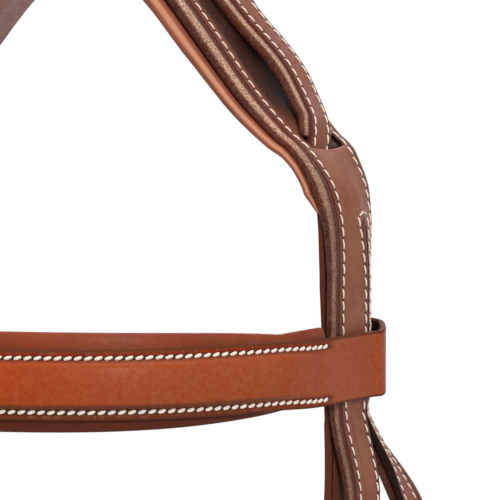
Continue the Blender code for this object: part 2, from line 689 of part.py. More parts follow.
def add_headstrap(arch):
    """The noseband's headstrap: over the crown, through the slots and down inside the headpiece."""
    upper = headstrap_places(arch)
    line = noseband_line()
    straight = line.place(np.array([HEADSTRAP_LEAD_SHARE * CHEEK_LENGTH, BUCKLE_LENGTH + BAR_RADIUS]),
                          np.array([-FOLD_RADIUS, -FOLD_RADIUS]))
    drop = upper[-1] + np.array([0, 0, -HEADSTRAP_DROP_SHARE * BROWBAND_DROP])
    left = smooth(np.concatenate([upper[-2:], [drop], straight]), 3)[4:]
    left = np.concatenate([left, line.place(*point_path().T)])
    ring = Line(line.origin - line.up * NOSEBAND_STRAP_LENGTH, -line.up, (1, 0, 0), HEADSTRAP_WIDTH)
    fold = fold_path()[::-1]
    low = ring.place(np.array([-HEADSTRAP_LEAD_SHARE * CHEEK_LENGTH - NOSEBAND_STRAP_LENGTH, -FOLD_LENGTH]),
                     np.array([FOLD_RADIUS, FOLD_RADIUS]))
    right = smooth(np.concatenate([upper[-2:], [drop], low]), 3)[4:]
    right = np.concatenate([right, ring.place(*fold.T)])
    path = np.concatenate([mirrored(right[::-1], -1), mirrored(upper[:0:-1], -1), upper, left])
    along = tangents(path)
    across = np.concatenate([mirrored(hold_across(right, ring)[::-1], -1),
                             both_sides(headstrap_axes(upper)[0]), hold_across(left, line)])
    across = unit(across - (across * along).sum(1, keepdims=True) * along)
    strap = loft("headstrap", path, across, np.cross(across, along), strap_profile(HEADSTRAP_WIDTH))
    room = strap_profile(HEADSTRAP_WIDTH + 4 * GAP, -STRAP_THICKNESS / 2 - 2 * GAP,
                         STRAP_THICKNESS / 2 + 2 * GAP)
    stretch = upper[HEADSTRAP_SLOT[0]:HEADSTRAP_SLOT[1]]
    tools = []
    for side in (1, -1):
        sweep = mirrored(stretch, side)
        axes = headstrap_axes(stretch)
        tools.append(loft(f"headstrap_slot_{side}", sweep, mirrored(axes[0], side), mirrored(axes[1], side), room))
    return strap, tools


def hold_across(path, line):
    """Directions that turn from straight back to a line's own."""
    share = np.clip(np.arange(len(path)) / HEADSTRAP_TURN_POINTS, 0, 1)[:, None]
    ahead = np.array([0, 1, 0]) * np.sign(line.across[1])
    return unit((1 - share) * ahead + share * line.across) * np.sign(line.across[1])


def add_headstrap_lining(arch):
    """The padded lining between the headstrap and the crown, with a roll along its front edge."""
    count = HEADSTRAP_LINED
    middle = headstrap_places(arch)
    across, outward = headstrap_axes(middle)
    middle, across, outward = middle[:count], across[:count], outward[:count]
    half = HEADSTRAP_WIDTH / 2
    top = STRAP_THICKNESS / 2 + GAP
    thick = HEADSTRAP_BULGE * np.interp(np.arange(count), (0, count - 3, count - 1),
                                        (1, 1, HEADSTRAP_TIP_SHARE))
    turn = np.radians((-90, -135, 180, 135, 90, 45, 0))
    centre = -half - HEADSTRAP_ROLL_RADIUS - GAP
    places = [(centre + HEADSTRAP_ROLL_RADIUS * math.cos(a),
               (thick + top) * (1 + math.sin(a)) / 2 - top - thick) for a in turn]
    places += [(-half + GAP, 0 * thick - top), (half - GAP, 0 * thick - top), (half - GAP, -top - thick)]
    profile = np.stack([np.stack([np.full(count, v), n], -1) for v, n in places], 1)
    rings = middle[:, None] + profile[..., :1] * across[:, None] + profile[..., 1:] * outward[:, None]
    return skin("headstrap_lining", both_rings(rings), DARK)


def hole_places():
    """Places of the punched holes beyond the tongue's own, along a buckled tail."""
    return [TONGUE_SLOT_LENGTH / 2 + GAP + i * HOLE_PITCH for i in (-2, -1, 1, 2)]


def cut_holes(item, prefix, line):
    """The punched holes of a tail."""
    for place in hole_places():
        layer = POINT_LAYER if place < 0 else -FOLD_RADIUS
        reach = STRAP_THICKNESS
        cut(item, rod_tool(f"{prefix}_hole_{place:.3f}", line.place(place, layer - reach),
                           line.place(place, layer + reach), HOLE_RADIUS))


def billet_path():
    """The cheekpiece's lower end: down, under the bit and up again inside, to its inner tip."""
    inner = FOLD_RADIUS - STRAP_THICKNESS - BILLET_OPENING
    bottom = -CHEEKPIECE_LENGTH
    bend = BILLET_BEND_SHARE * STRAP_THICKNESS
    return [(bottom + 2 * bend, FOLD_RADIUS), (bottom + bend, FOLD_RADIUS), (bottom, FOLD_RADIUS - bend),
            (bottom, inner + bend), (bottom + bend, inner), (bottom + BILLET_DEPTH, inner),
            (bottom + BILLET_DEPTH + BILLET_OPENING, UNDER_LAYER), (bottom + BILLET_OVERLAP, UNDER_LAYER)]


def add_stud(name, line, place):
    """A stud through both layers of the billet, its head inside and its rivet outside."""
    shank, head, thick = STUD_RADIUS, STUD_HEAD_RADIUS, STUD_HEAD_THICKNESS
    low = UNDER_LAYER - STRAP_THICKNESS / 2 - GAP
    high = FOLD_RADIUS + STRAP_THICKNESS / 2 + GAP
    outs = np.array([low - 2 * thick, low - thick, low, low, high, high, high + thick / 2])
    radii = np.array([head * STUD_CROWN_SHARE, head, head * STUD_CROWN_SHARE, shank, shank,
                      head * STUD_RIVET_SHARE, head * STUD_RIVET_SHARE / 2])
    path = line.place(np.full(len(outs), place), outs)
    profile = radii[:, None, None] * round_profile(1, 10)
    count = len(path)
    return loft(name, path, np.tile(line.up, (count, 1)), np.tile(line.across, (count, 1)), profile, BRASS)


def add_cheekpiece(line, suffix):
    """The cheekpiece with its buckle fold above and its billet, keeper and stud below."""
    path = np.concatenate([fold_path(), [(-FOLD_LENGTH, FOLD_RADIUS)], billet_path()])
    strap = line.strap("cheekpiece_" + suffix, path)
    cut_fold_slot(strap, "cheekpiece_" + suffix, line)
    stud = -CHEEKPIECE_LENGTH + BILLET_DEPTH + BILLET_OPENING + STUD_HEAD_RADIUS + 2 * GAP
    add_stud("billet_stud_" + suffix, line, stud)
    reach = POINT_LAYER + OVERRUN
    cut(strap, rod_tool("stud_hole_" + suffix, line.place(stud, -reach), line.place(stud, reach),
                        STUD_RADIUS + GAP))
    keeper = stud + STUD_HEAD_RADIUS + KEEPER_WIDTH / 2 + GAP
    add_band("billet_keeper_" + suffix, line, keeper, KEEPER_WIDTH, UNDER_LAYER - STRAP_THICKNESS / 2,
             FOLD_RADIUS + STRAP_THICKNESS / 2, line.width / 2)


def add_throatlatch():
    """The strap under the throat, folded round a buckle's bar at each end."""
    line = throat_line()
    tip = -POINT_LENGTH
    places = (-FOLD_LENGTH, (tip - FOLD_LENGTH) / 2, tip - OVERRUN, tip - 2 * OVERRUN)
    down = line.place(np.array(places), np.full(4, FOLD_RADIUS))
    size = np.array([HALF_WIDTH, THROAT_REACH, THROAT_DROP])
    under = np.array(THROAT_SHARES) * size
    free = smooth(np.concatenate([down, under]), 2)
    left = np.concatenate([line.place(*fold_path().T), free])
    lead = len(fold_path()) + THROAT_TURN_POINTS
    share = np.clip((np.arange(len(left)) - lead) / THROAT_TURN_POINTS, 0, 1)[:, None]
    wanted = (1 - share) * line.across + share * np.array([0, line.across[1], 0])
    path = np.concatenate([left, mirrored(left[-2::-1], -1)])
    across = np.concatenate([wanted, mirrored(wanted[-2::-1], -1)])
    along = tangents(path)
    across = unit(across - (across * along).sum(1, keepdims=True) * along)
    strap = loft("throatlatch", path, across, np.cross(across, along), strap_profile(THROAT_STRAP_WIDTH))
    for side in (1, -1):
        cut_fold_slot(strap, f"throatlatch_{side}", side_line(line, side))


def add_noseband_strap(line):
    """The short strap between the left ring and the noseband's buckle, folded at both ends."""
    lower = fold_path()[::-1] * (-1, 1) - (NOSEBAND_STRAP_LENGTH, 0)
    strap = line.strap("noseband_cheek_strap", np.concatenate([fold_path(), lower]))
    cut_fold_slot(strap, "noseband_cheek_strap", line)


def add_ring(side, suffix):
    """A square ring that joins the noseband's straps."""
    corner = RING_CORNER_SHARE * RING_HALF
    places = []
    for y, z, start in ((-1, -1, 270), (1, -1, 0), (1, 1, 90), (-1, 1, 180)):
        for step in (-90, -45, 0):
            turn = math.radians(start + step)
            places.append((y * (RING_HALF - corner) + corner * math.cos(turn),
                           z * (RING_HALF - corner) + corner * math.sin(turn)))
    y, z = np.array(places).T
    path = np.stack([np.full(len(y), NOSE_HALF_WIDTH), RING_PLACE + y, z - NOSEBAND_DROP], 1)
    along = unit(np.roll(path, -1, 0) - np.roll(path, 1, 0))
    out = np.tile((1.0, 0, 0), (len(path), 1))
    loft("noseband_ring_" + suffix, mirrored(path, side), mirrored(np.cross(out, along), side),
         mirrored(out, side), round_profile(BAR_RADIUS, 8), BRASS, closed=True)


def level_axes(path):
    """The axes of a strap that lies on edge round the head: across is up."""
    across = np.tile((0, 0, 1.0), (len(path), 1))
    along = tangents(path)
    return across, np.cross(across, along)


def offset_path(path, distance):
    """A path moved sideways in its level plane; positive distances go to its outer side."""
    return path + distance * level_axes(path)[1]


def ring_bar(sign):
    """The line of a strap that folds round the ring's front (-1) or rear (1) bar."""
    place = (NOSE_HALF_WIDTH, RING_PLACE + sign * RING_HALF, -NOSEBAND_DROP)
    return Line(place, (0, -sign, 0), (1, 0, 0), JAW_WIDTH)


def add_nose_strap():
    """The nosepiece: a strap folded at both rings, wider in front, and its padded lining."""
    fold = ring_bar(-1).place(*fold_path().T)
    size = np.array([NOSE_HALF_WIDTH + FOLD_RADIUS, NOSE_REACH, NOSEBAND_DROP])
    free = smooth(np.array(NOSE_SHARES) * size, 2)
    half = np.concatenate([fold, free])[::-1]
    path = np.concatenate([mirrored(half[:0:-1], -1), half])
    share = np.interp(path[:, 1], (-NOSE_REACH * NOSE_WIDE_SHARE, -NOSE_REACH * NOSE_NARROW_SHARE), (0, 1))
    width = NOSE_WIDTH + share * (NOSE_END_WIDTH - NOSE_WIDTH)
    across, outward = level_axes(path)
    loft("nose_strap", path, across, outward, strap_profile(width), ORANGE)
    front = smooth(np.array(NOSE_SHARES[NOSE_LINING_FROM:]) * size, 2)[::-1]
    front = np.concatenate([mirrored(front[:0:-1], -1), front])
    side = np.sign((level_axes(front)[1][len(front) // 2] * (0, -1, 0)).sum())
    add_pad("nose_lining", offset_path(front, -side * (STRAP_THICKNESS / 2 + GAP)), side,
            NOSE_LINING_WIDTH * (1 - (1 - NOSE_LINING_TIP_SHARE) * end_share(front)), NOSE_LINING_THICKNESS)


def end_share(path):
    """0 in the middle of a path and 1 at its ends, rising towards the ends."""
    return np.abs(np.linspace(-1, 1, len(path))) ** 3


def add_pad(name, path, side, width, thickness):
    """A padded strip on the inner side of a path, with softly rounded edges."""
    across, outward = level_axes(path)
    half = width / 2
    soft = thickness / 3
    places = [(-half + soft, 0), (half - soft, 0), (half, -soft), (half, -2 * soft), (half - soft, -3 * soft),
              (-half + soft, -3 * soft), (-half, -2 * soft), (-half, -soft)]
    profile = np.stack([np.stack([v, np.full(len(path), side * n)], -1) for v, n in places], 1)
    return loft(name, path, across, outward, profile, DARK)


def jaw_line():
    """The jaw straps' straight stretch behind the jaw, from the right side's strap to the left's."""
    place = (JAW_BUCKLE_PLACE, RING_PLACE + JAW_REACH, -NOSEBAND_DROP)
    return Line(place, (-1, 0, 0), (0, 1, 0), JAW_WIDTH)


def add_jaw_straps():
    """The left jaw strap with the buckle, the right one with the holes, and the pad under them."""
    line = jaw_line()
    bar = ring_bar(1)
    fold = bar.place(*fold_path().T)
    out = NOSE_HALF_WIDTH + FOLD_RADIUS
    level = -NOSEBAND_DROP
    corner = np.array(JAW_CORNER_SHARES) * JAW_CORNER
    for side, suffix, layer in ((1, "left", FOLD_RADIUS), (-1, "right", -FOLD_RADIUS)):
        back = line.origin[1] + layer
        turn = [(out - x, back - y, level) for x, y in corner]
        lead = [(out, fold[-1][1] + FOLD_LENGTH, level)]
        curve = smooth(np.array(lead + turn), 2)
        if side > 0:
            end = line.place(*np.concatenate([[(-FOLD_LENGTH, FOLD_RADIUS)], fold_path()[::-1]]).T)
        else:
            through = np.concatenate([[(BUCKLE_LENGTH + BAR_RADIUS, -FOLD_RADIUS)], point_path()])
            end = mirrored(line.place(*through.T), -1)
        path = mirrored(np.concatenate([fold, curve, end]), side)
        across, outward = level_axes(path)
        strap = loft("jaw_strap_" + suffix, path, across, outward, strap_profile(JAW_WIDTH))
        if side > 0:
            cut_fold_slot(strap, "jaw", line)
        else:
            cut_tongue_hole(strap, "jaw", line)
    x = np.linspace(-1, 1, 5) * JAW_PAD_REACH_SHARE * NOSE_HALF_WIDTH
    under = line.origin[1] - FOLD_RADIUS - STRAP_THICKNESS / 2 - GAP
    pad = np.stack([x, np.full(5, under), np.full(5, level)], 1)
    add_pad("jaw_pad", pad, np.sign(level_axes(pad)[1][0][1]), np.full(5, JAW_PAD_WIDTH), JAW_PAD_THICKNESS)


def browband_path():
    """The middle of the browband's strap: the left loop's inner end, the loop and the front curve.

    Also gives how many points come before the front curve.
    """
    front = ARCH_SHARES[-1][2] * CROWN_WIDTH - GAP - 2 * ROLL_RADIUS - LOOP_ROOM - STRAP_THICKNESS / 2
    seam = ARCH_SHARES[-1][2] * CROWN_WIDTH + CHEEK_WIDTH
    outer = HALF_WIDTH + LOOP_ROOM + STRAP_THICKNESS / 2
    inner = HALF_WIDTH - INNER_LAYER - STRAP_THICKNESS - LOOP_ROOM
    back = np.array([-math.sin(THROAT_TURN), math.cos(THROAT_TURN)])
    length = SPLIT_GAP + THROAT_WIDTH + 2 * LOOP_ROOM + STRAP_THICKNESS
    outer_end = np.array([outer, seam]) + length * back
    inner_end = np.array([inner, seam + LOOP_ROOM]) + length * back
    rear = 0.5 * (outer_end + inner_end) + STRAP_THICKNESS * back
    under = outer - STRAP_THICKNESS - GAP
    size = np.array([outer, BROWBAND_REACH])
    curve = smooth([np.array(place) * size for place in BROWBAND_SHARES], 3)
    crossing = under + LOOP_CROSSING_SHARE * (inner - under)
    loop = [(under, front - 2 * LOOP_TUCK), (under, front - LOOP_TUCK), (crossing, front),
            (inner, front + LOOP_TUCK), (inner, seam - STRAP_THICKNESS)]
    loop += [np.array([inner, seam + LOOP_ROOM]) + share * length * back for share in LOOP_INNER_SHARES]
    loop += [rear]
    loop += [np.array([outer, seam]) + share * length * back for share in LOOP_OUTER_SHARES]
    loop += [(outer, seam - 2 * STRAP_THICKNESS), (outer, front)]
    loop = smooth(np.array(loop), 2)
    path = np.concatenate([loop, curve])
    sag = BROWBAND_SAG * np.clip(-path[:, 1] / BROWBAND_REACH, 0, 1)
    return np.column_stack([path, -BROWBAND_DROP - sag]), len(loop)


def add_browband():
    """The browband: one strap with a raised middle, looped at both ends, and its padded lining."""
    left, loop = browband_path()
    path = np.concatenate([left, mirrored(left[-2::-1], -1)])
    across, outward = level_axes(path)
    side = np.sign((outward[len(path) // 2] * (0, -1, 0)).sum())
    reach = np.clip((np.arange(len(left)) - loop) / BROWBAND_RISE_POINTS, 0, 1)
    reach = np.concatenate([reach, reach[-2::-1]])
    half = (BROWBAND_LOOP_WIDTH + reach * (BROWBAND_WIDTH - BROWBAND_LOOP_WIDTH)) / 2
    thick = STRAP_THICKNESS / 2
    raised = thick + reach * BROWBAND_RAISE
    places = [(-half, -thick + 0 * half), (half, -thick + 0 * half), (half, thick + 0 * half),
              (half * BROWBAND_RAISED_SHARE, raised), (-half * BROWBAND_RAISED_SHARE, raised),
              (-half, thick + 0 * half)]
    profile = np.stack([np.stack([v, side * n], -1) for v, n in places], 1)
    loft("browband", path, across, outward, profile, ORANGE)
    front = path[loop + BROWBAND_LINING_FROM:len(path) - loop - BROWBAND_LINING_FROM]
    narrow = BROWBAND_LOOP_WIDTH + BROWBAND_LINING_STEP
    width = BROWBAND_LINING_WIDTH - (BROWBAND_LINING_WIDTH - narrow) * end_share(front)
    lift = np.outer(1 - end_share(front), (0, 0, BROWBAND_LINING_RISE))
    add_pad("browband_lining", offset_path(front, -side * (thick + GAP)) + lift, side, width,
            BROWBAND_LINING_THICKNESS)


def build():
    arch = Arch()
    headpiece = add_headpiece(arch)
    lining = add_headpiece_lining(arch)
    add_poll_pad(arch)
    add_throat_linings(arch)
    headstrap, slots = add_headstrap(arch)
    add_headstrap_lining(arch)
    for tool in slots:
        cut(headpiece, tool)
        cut(lining, tool)
    for side, suffix in ((1, "left"), (-1, "right")):
        for key, line in (("cheek", cheek_line()), ("throat", throat_line())):
            here = side_line(line, side)
            add_buckle(key + "_" + suffix, here)
            cut_tongue_hole(headpiece, key + "_" + suffix, here)
            cut_holes(headpiece, key + "_" + suffix, here)
        add_cheekpiece(side_line(cheek_line(), side), suffix)
        add_ring(side, suffix)
    noseband = noseband_line()
    add_buckle("noseband", noseband)
    cut_tongue_hole(headstrap, "noseband", noseband)
    add_noseband_strap(noseband)
    add_throatlatch()
    add_nose_strap()
    add_jaw_straps()
    add_buckle("jaw", jaw_line())
    add_browband()


clear_scene()
build()
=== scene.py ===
"""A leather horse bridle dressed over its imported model, laid out as an add-on.

Every piece is worked out with numpy in metres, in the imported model's own frame: +Z up, front towards
-Y, the horse's left side towards +X, the origin under the poll pad.
"""

import math

import bmesh
import bpy
import mathutils
import numpy as np
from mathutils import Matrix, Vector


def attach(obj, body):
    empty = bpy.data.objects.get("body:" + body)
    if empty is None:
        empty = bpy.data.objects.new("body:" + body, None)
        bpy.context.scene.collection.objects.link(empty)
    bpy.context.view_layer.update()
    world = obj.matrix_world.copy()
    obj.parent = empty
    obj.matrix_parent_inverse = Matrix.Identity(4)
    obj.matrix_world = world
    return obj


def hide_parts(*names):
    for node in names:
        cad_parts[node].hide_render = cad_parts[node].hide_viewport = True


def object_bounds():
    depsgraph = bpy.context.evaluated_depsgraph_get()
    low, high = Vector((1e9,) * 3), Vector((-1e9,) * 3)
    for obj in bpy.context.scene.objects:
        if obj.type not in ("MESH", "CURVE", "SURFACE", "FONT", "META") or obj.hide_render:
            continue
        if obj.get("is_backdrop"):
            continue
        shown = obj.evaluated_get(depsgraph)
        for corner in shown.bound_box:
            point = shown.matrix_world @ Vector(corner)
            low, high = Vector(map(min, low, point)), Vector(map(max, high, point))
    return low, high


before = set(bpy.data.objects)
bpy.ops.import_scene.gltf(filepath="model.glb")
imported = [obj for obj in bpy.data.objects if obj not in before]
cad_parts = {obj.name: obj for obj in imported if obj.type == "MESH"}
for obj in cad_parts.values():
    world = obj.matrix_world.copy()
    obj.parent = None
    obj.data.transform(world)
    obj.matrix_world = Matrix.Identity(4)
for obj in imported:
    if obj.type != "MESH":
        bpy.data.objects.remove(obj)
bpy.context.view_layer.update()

bl_info = {
    "name": "Horse bridle",
    "version": (1, 0, 0),
    "blender": (4, 5, 0),
    "location": "3D View > Sidebar > Bridle",
    "description": "Makes a stitched leather bridle over its packed solids",
    "category": "Add Mesh",
}

SIDES = ((1, "left"), (-1, "right"))

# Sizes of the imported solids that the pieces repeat, in metres
GAP = 0.0003
THICK = 0.0020
HALF_WIDTH = 0.1000
BROWBAND_DROP = 0.1290
CROWN_WIDTH = 0.0460
CROWN_STACK = 0.0115
CHEEK_LENGTH = 0.2600
NOSEBAND_DROP = 0.3350
CHEEK_WIDTH = 0.0156
THROAT_WIDTH = 0.0130
SPLIT_GAP = 0.0006
THROAT_TURN = math.radians(26)
LINING_THICK = 0.0029
ROLL_RADIUS = 0.0027
# How slim the lining's roll is by station, and how much wider the cheek's half gets at its front and rear
# between four stations
SLIM_STATIONS, SLIM = (7.5, 9.6, 11.5, 12.8, 14.2, 17.5), (1, 0.90, 0.72, 0.78, 0.95, 0.58)
WIDE_STATIONS, WIDE_FRONT, WIDE_REAR = (14.5, 17.5, 20, 22), 0.0021, 0.0014
PAD_FLAT = 0.0240
HOLE_RADIUS = 0.0012
HOLE_PITCH = 0.0202
HEADSTRAP_WIDTH = 0.0127
HEADSTRAP_ROLL = 0.0021
HEADSTRAP_BULGE = 0.0022
BROWBAND_WIDTH = 0.0202
BROWBAND_SHIFT, LOOP_SHIFT = 0.0005, -0.0002
LOOP_WIDTH = 0.0200
BROW_LINING_WIDTH = 0.0290
BROW_LINING_THICK = 0.0040
BROW_RAISE = 0.0024
BROW_REACH = 0.1150
LOOP_ROOM = 0.0008
BROW_SAG = 0.0014
BROW_LINING_RISE = 0.0010
BROWBAND_SEWN = 0.1480
BROW_LINING_STEP = -0.0030
BAR = 0.0014
TONGUE = 0.0008
BUCKLE_LENGTH = 0.0170
SIDE_ROOM = 0.0006
FOLD_LENGTH = 0.0220
POINT_LENGTH = 0.0500
KEEPER_PLACE = 0.0100
KEEPER_WIDTH = 0.0065
KEEPER_THICK = 0.0013
RUNNER_PLACE = 0.0340
TONGUE_SLOT = 0.0108
CHEEKPIECE_LENGTH = 0.1900
BILLET_OPENING = 0.0090
BILLET_DEPTH = 0.0150
BILLET_OVERLAP = 0.0380
STUD_HEAD = 0.0036
STUD_THICK = 0.0012
THROAT_STRAP = 0.0127
THROAT_DROP = 0.3350
THROAT_REACH = 0.0960
NOSE_HALF = 0.0780
NOSE_REACH = 0.1150
NOSE_STRAP_LENGTH = 0.0730
RING_PLACE = -0.0040
NOSE_WIDTH = 0.0240
NOSE_END_WIDTH = 0.0150
NOSE_LINING_WIDTH = 0.0300
NOSE_LINING_THICK = 0.0040
RING_HALF = 0.0125
JAW_WIDTH = 0.0150
JAW_REACH = 0.0610
JAW_PAD_WIDTH = 0.0260
JAW_PAD_THICK = 0.0050
JAW_CORNER = 0.0260
JAW_PLACE = 0.0020
OVERRUN = 0.0060

# The headpiece's front edge as shares of HALF_WIDTH, BROWBAND_DROP and CROWN_WIDTH, and how far it has
# narrowed there from the crown to its two tails
ARCH = (
    (0.180, -0.016, -0.500, 0.02), (0.240, -0.045, -0.495, 0.05), (0.300, -0.080, -0.490, 0.10),
    (0.360, -0.122, -0.480, 0.16), (0.424, -0.176, -0.470, 0.23), (0.488, -0.235, -0.460, 0.31),
    (0.571, -0.319, -0.447, 0.42), (0.644, -0.395, -0.434, 0.53), (0.723, -0.472, -0.420, 0.66),
    (0.810, -0.542, -0.408, 0.79), (0.864, -0.576, -0.402, 0.86), (0.911, -0.616, -0.396, 0.92),
    (0.953, -0.664, -0.390, 0.96), (0.978, -0.717, -0.386, 0.99), (0.993, -0.771, -0.382, 1.0),
    (1.000, -0.864, -0.380, 1.0), (1.000, -0.930, -0.380, 1.0), (1.000, -1.000, -0.380, 1.0),
    (1.000, -1.089, -0.380, 1.0), (1.000, -1.150, -0.380, 1.0), (1.000, -1.213, -0.380, 1.0),
)
# Stations count along the arch from the middle of the crown, where the first two points are added
STATIONS = np.arange(0, len(ARCH) + 1.01, 0.125)
SPLIT_STATION = 16
# Where the lining starts to narrow to the cheek's half, and where the throat's half turns by THROAT_TURN
LINING_NARROWS = 12
TURN_STATIONS = (12.5, 17)
# Where the two tails' straight stretches start, as shares of SIDE_SIZE, and which way they run
SIDE_SIZE = np.array([HALF_WIDTH, HALF_WIDTH, BROWBAND_DROP])
CHEEK_TOP, CHEEK_RUN = (1.042, -0.052, -1.31), (-0.120, -0.132, -0.984)
THROAT_TOP, THROAT_RUN, THROAT_FACE = (1.030, 0.250, -1.31), (-0.08, 0.40, -0.91), (1, -0.05, 0)
# Distances up from the buckle's bar: the straight stretches' tops, and the end of the linings
TAIL_TOP = 0.214 * CHEEK_LENGTH
THROAT_LEAD = 0.86 * TAIL_TOP
LINING_END = 0.155 * CHEEK_LENGTH
# The poll pad's radius by station, and how far it is pressed into the lining
PAD_STATIONS, PAD_RADII = (1, 8, 10, 11.6, 13, 15), (1.0, 0.68, 0.54, 0.40, 0.35, 0.38)
PAD_PRESS = 0.0016
# The headstrap by station: its height over the crown as a share of what it has on top, below 0 once it is
# through the slot; its lean in degrees; and its distance behind the front edge as a share of CROWN_WIDTH
RISE_STATIONS = (0, 5, 7, 8, 8.8, 9.6, 10.3, 11, 11.4, 12, 12.6, 13)
RISE_SHARES = (1.0, 1.0, 0.85, 0.98, 1.34, 1.48, 1.18, 0.70, 0.36, -0.68, -1.47, -1.71)
TILT_STATIONS, TILTS = (0, 8.4, 9.6, 10.3, 11.2, 12), (0, 0, 3, 5, 7, 2)
HEADSTRAP_STATIONS = (0, 7, 8, 10, 12, 16, 20, 22)
HEADSTRAP_PLACES = (0.50, 0.48, 0.54, 0.51, 0.28, 0.12, 0.19, 0.17)
# The top of the noseband's side, as shares of HALF_WIDTH and BROWBAND_DROP
NOSEBAND_TOP = (0.895, -1.667)
# Curves from a side to the middle, as shares of each strap's half width, reach and, where it has one, drop
THROAT_SHAPE = ((0.82, 0.89, -0.945), (0.60, 0.96, -0.982), (0.30, 0.99, -0.997), (0, 1, -1))
NOSE_SHAPE = ((1.0, -0.32, -1), (1.0, -0.44, -1), (0.965, -0.60, -1), (0.86, -0.78, -1),
              (0.64, -0.92, -1), (0.34, -0.985, -1), (0, -1, -1))
BROW_SHAPE = ((1.0, -0.30), (0.985, -0.40), (0.925, -0.56), (0.80, -0.74), (0.60, -0.88), (0.31, -0.97),
              (0, -1))
# The jaw strap's rounded corner, as shares of JAW_CORNER
JAW_SHAPE = ((0, 1.0), (0.10, 0.55), (0.42, 0.14), (1.0, 0))

# Distances out from a buckle's bar: a folded strap's outer and inner layer, and the end with the holes.
# INNER is the distance in from the crown's face to the middle of what lies under its lining.
FOLD = BAR + GAP + THICK / 2
UNDER = FOLD - THICK - GAP
POINT = FOLD + THICK + GAP
INNER = THICK + GAP + LINING_THICK + GAP + THICK / 2


# Curves and directions

def unit(vectors):
    """Each vector divided by its own length."""
    return vectors / np.linalg.norm(vectors, axis=-1, keepdims=True)


def curve_at(points, places):
    """Catmull-Rom curve: at place i + t it is the cubic through points i - 1 to i + 2, with t from 0 to 1."""
    points = np.asarray(points, float)
    padded = np.concatenate([2 * points[:1] - points[1:2], points, 2 * points[-1:] - points[-2:-1]])
    first = np.clip(np.floor(places).astype(int), 0, len(points) - 2)
    t = (np.asarray(places, float) - first).reshape((-1,) + (1,) * (points.ndim - 1))
    a, b, c, d = (padded[first + i] for i in range(4))
    return 0.5 * (2 * b + (c - a) * t + (2 * a - 5 * b + 4 * c - d) * t**2 + (3 * b - a - 3 * c + d) * t**3)


def smooth(points, steps):
    """The curve through the points, with steps to each span."""
    return curve_at(points, np.linspace(0, len(points) - 1, steps * (len(points) - 1) + 1))


SPAN_STEPS = 8


def lead_on(start, *more):
    """The curve from the second of two start points through more points, without that start point."""
    return smooth(np.concatenate([start, *more]), SPAN_STEPS)[SPAN_STEPS + 1:]


def arc(start, end, count):
    """Cosine and sine, side by side, of even steps from one angle to another in degrees."""
    turn = np.radians(np.linspace(start, end, count))
    return np.stack([np.cos(turn), np.sin(turn)], -1)


def ease(share):
    """From 0 to 1 along half a cosine."""
    return 0.5 - 0.5 * np.cos(math.pi * share)


def rounded(distance, length, least):
    """From least at distance 0 to 1 at a length, along a quarter of an ellipse."""
    return least + (1 - least) * np.sqrt(1 - (1 - np.clip(distance / length, 0, 1))**2)


def tangents(path):
    """Unit directions along a path, from the differences between neighbouring points."""
    return unit(np.gradient(path, axis=0))


def lengths(path):
    """The distance along a path from its first point to each point."""
    return np.concatenate([[0], np.cumsum(np.linalg.norm(np.diff(path, axis=0), axis=1))])


def flip(vectors, side):
    """Points or directions on the left side (1), or mirrored to the right one (-1)."""
    return np.asarray(vectors, float) * (side, 1, 1)


def both(rows):
    """Rows that start in the middle plane, with their mirror image before them."""
    return np.concatenate([flip(rows[:0:-1], -1), rows])


def reflect(rows):
    """Rows that end in the middle plane, with their mirror image after them."""
    return both(rows[::-1])[::-1]


def read(rows, run, wanted):
    """Rows at wanted distances, by straight lines between those at the distances run."""
    flat = np.asarray(rows, float).reshape(len(run), -1)
    mixed = np.stack([np.interp(wanted, run, column) for column in flat.T], -1)
    return mixed.reshape(np.shape(wanted) + np.shape(rows)[1:])


def square_up(hint, path):
    """Across is the hint less its part along the path, outward is across times along."""
    along = tangents(path)
    across = unit(hint - (hint * along).sum(1, keepdims=True) * along)
    return across, np.cross(across, along)


# Least distances: between an opening's rows and the others, and between any two rows
EXTRA_ROOM, ROW_ROOM = 3e-4, 4e-5


def fill_in(step, *rows, ends=False, extra=()):
    """Rows added between those of a path so that none is further apart than step, all by straight lines."""
    run = lengths(rows[0])
    count = max(2, int(run[-1] / step) + 1)
    more = [run, np.linspace(0, run[-1], count)]
    if len(extra):
        extra = np.asarray(extra)
        more = [row[np.abs(row[:, None] - extra).min(1) > EXTRA_ROOM] for row in more] + [extra]
    if ends:
        more += [ROUND_STEPS, run[-1] - ROUND_STEPS]
    wanted = np.unique(np.round(np.concatenate(more), 6))
    keep = np.concatenate([[True], np.diff(wanted) > ROW_ROOM])
    wanted = np.clip(wanted[keep], 0, run[-1])
    return [read(row, run, wanted) for row in rows]


# Meshes

# The straps' outer edges are rounded over EDGE_ROUND; BACK_SHIFT sets the marks of the backs apart
EDGE_ROUND = 0.0007
BACK_SHIFT = 0.0012
ROUND_STEPS = EDGE_ROUND * np.array([0, 0.06, 0.22, 0.5, 1.0, 1.6])
# The face of a plain strap rises by DOME in the middle. POINTED is the length of a strap's pointed end,
# and POINT_LEAST its width at the very tip as a share of the strap's. The raised bands have rows every
# FINE_STEP.
DOME, POINTED, POINT_LEAST, FINE_STEP = 0.0002, 0.012, 0.3, 0.002


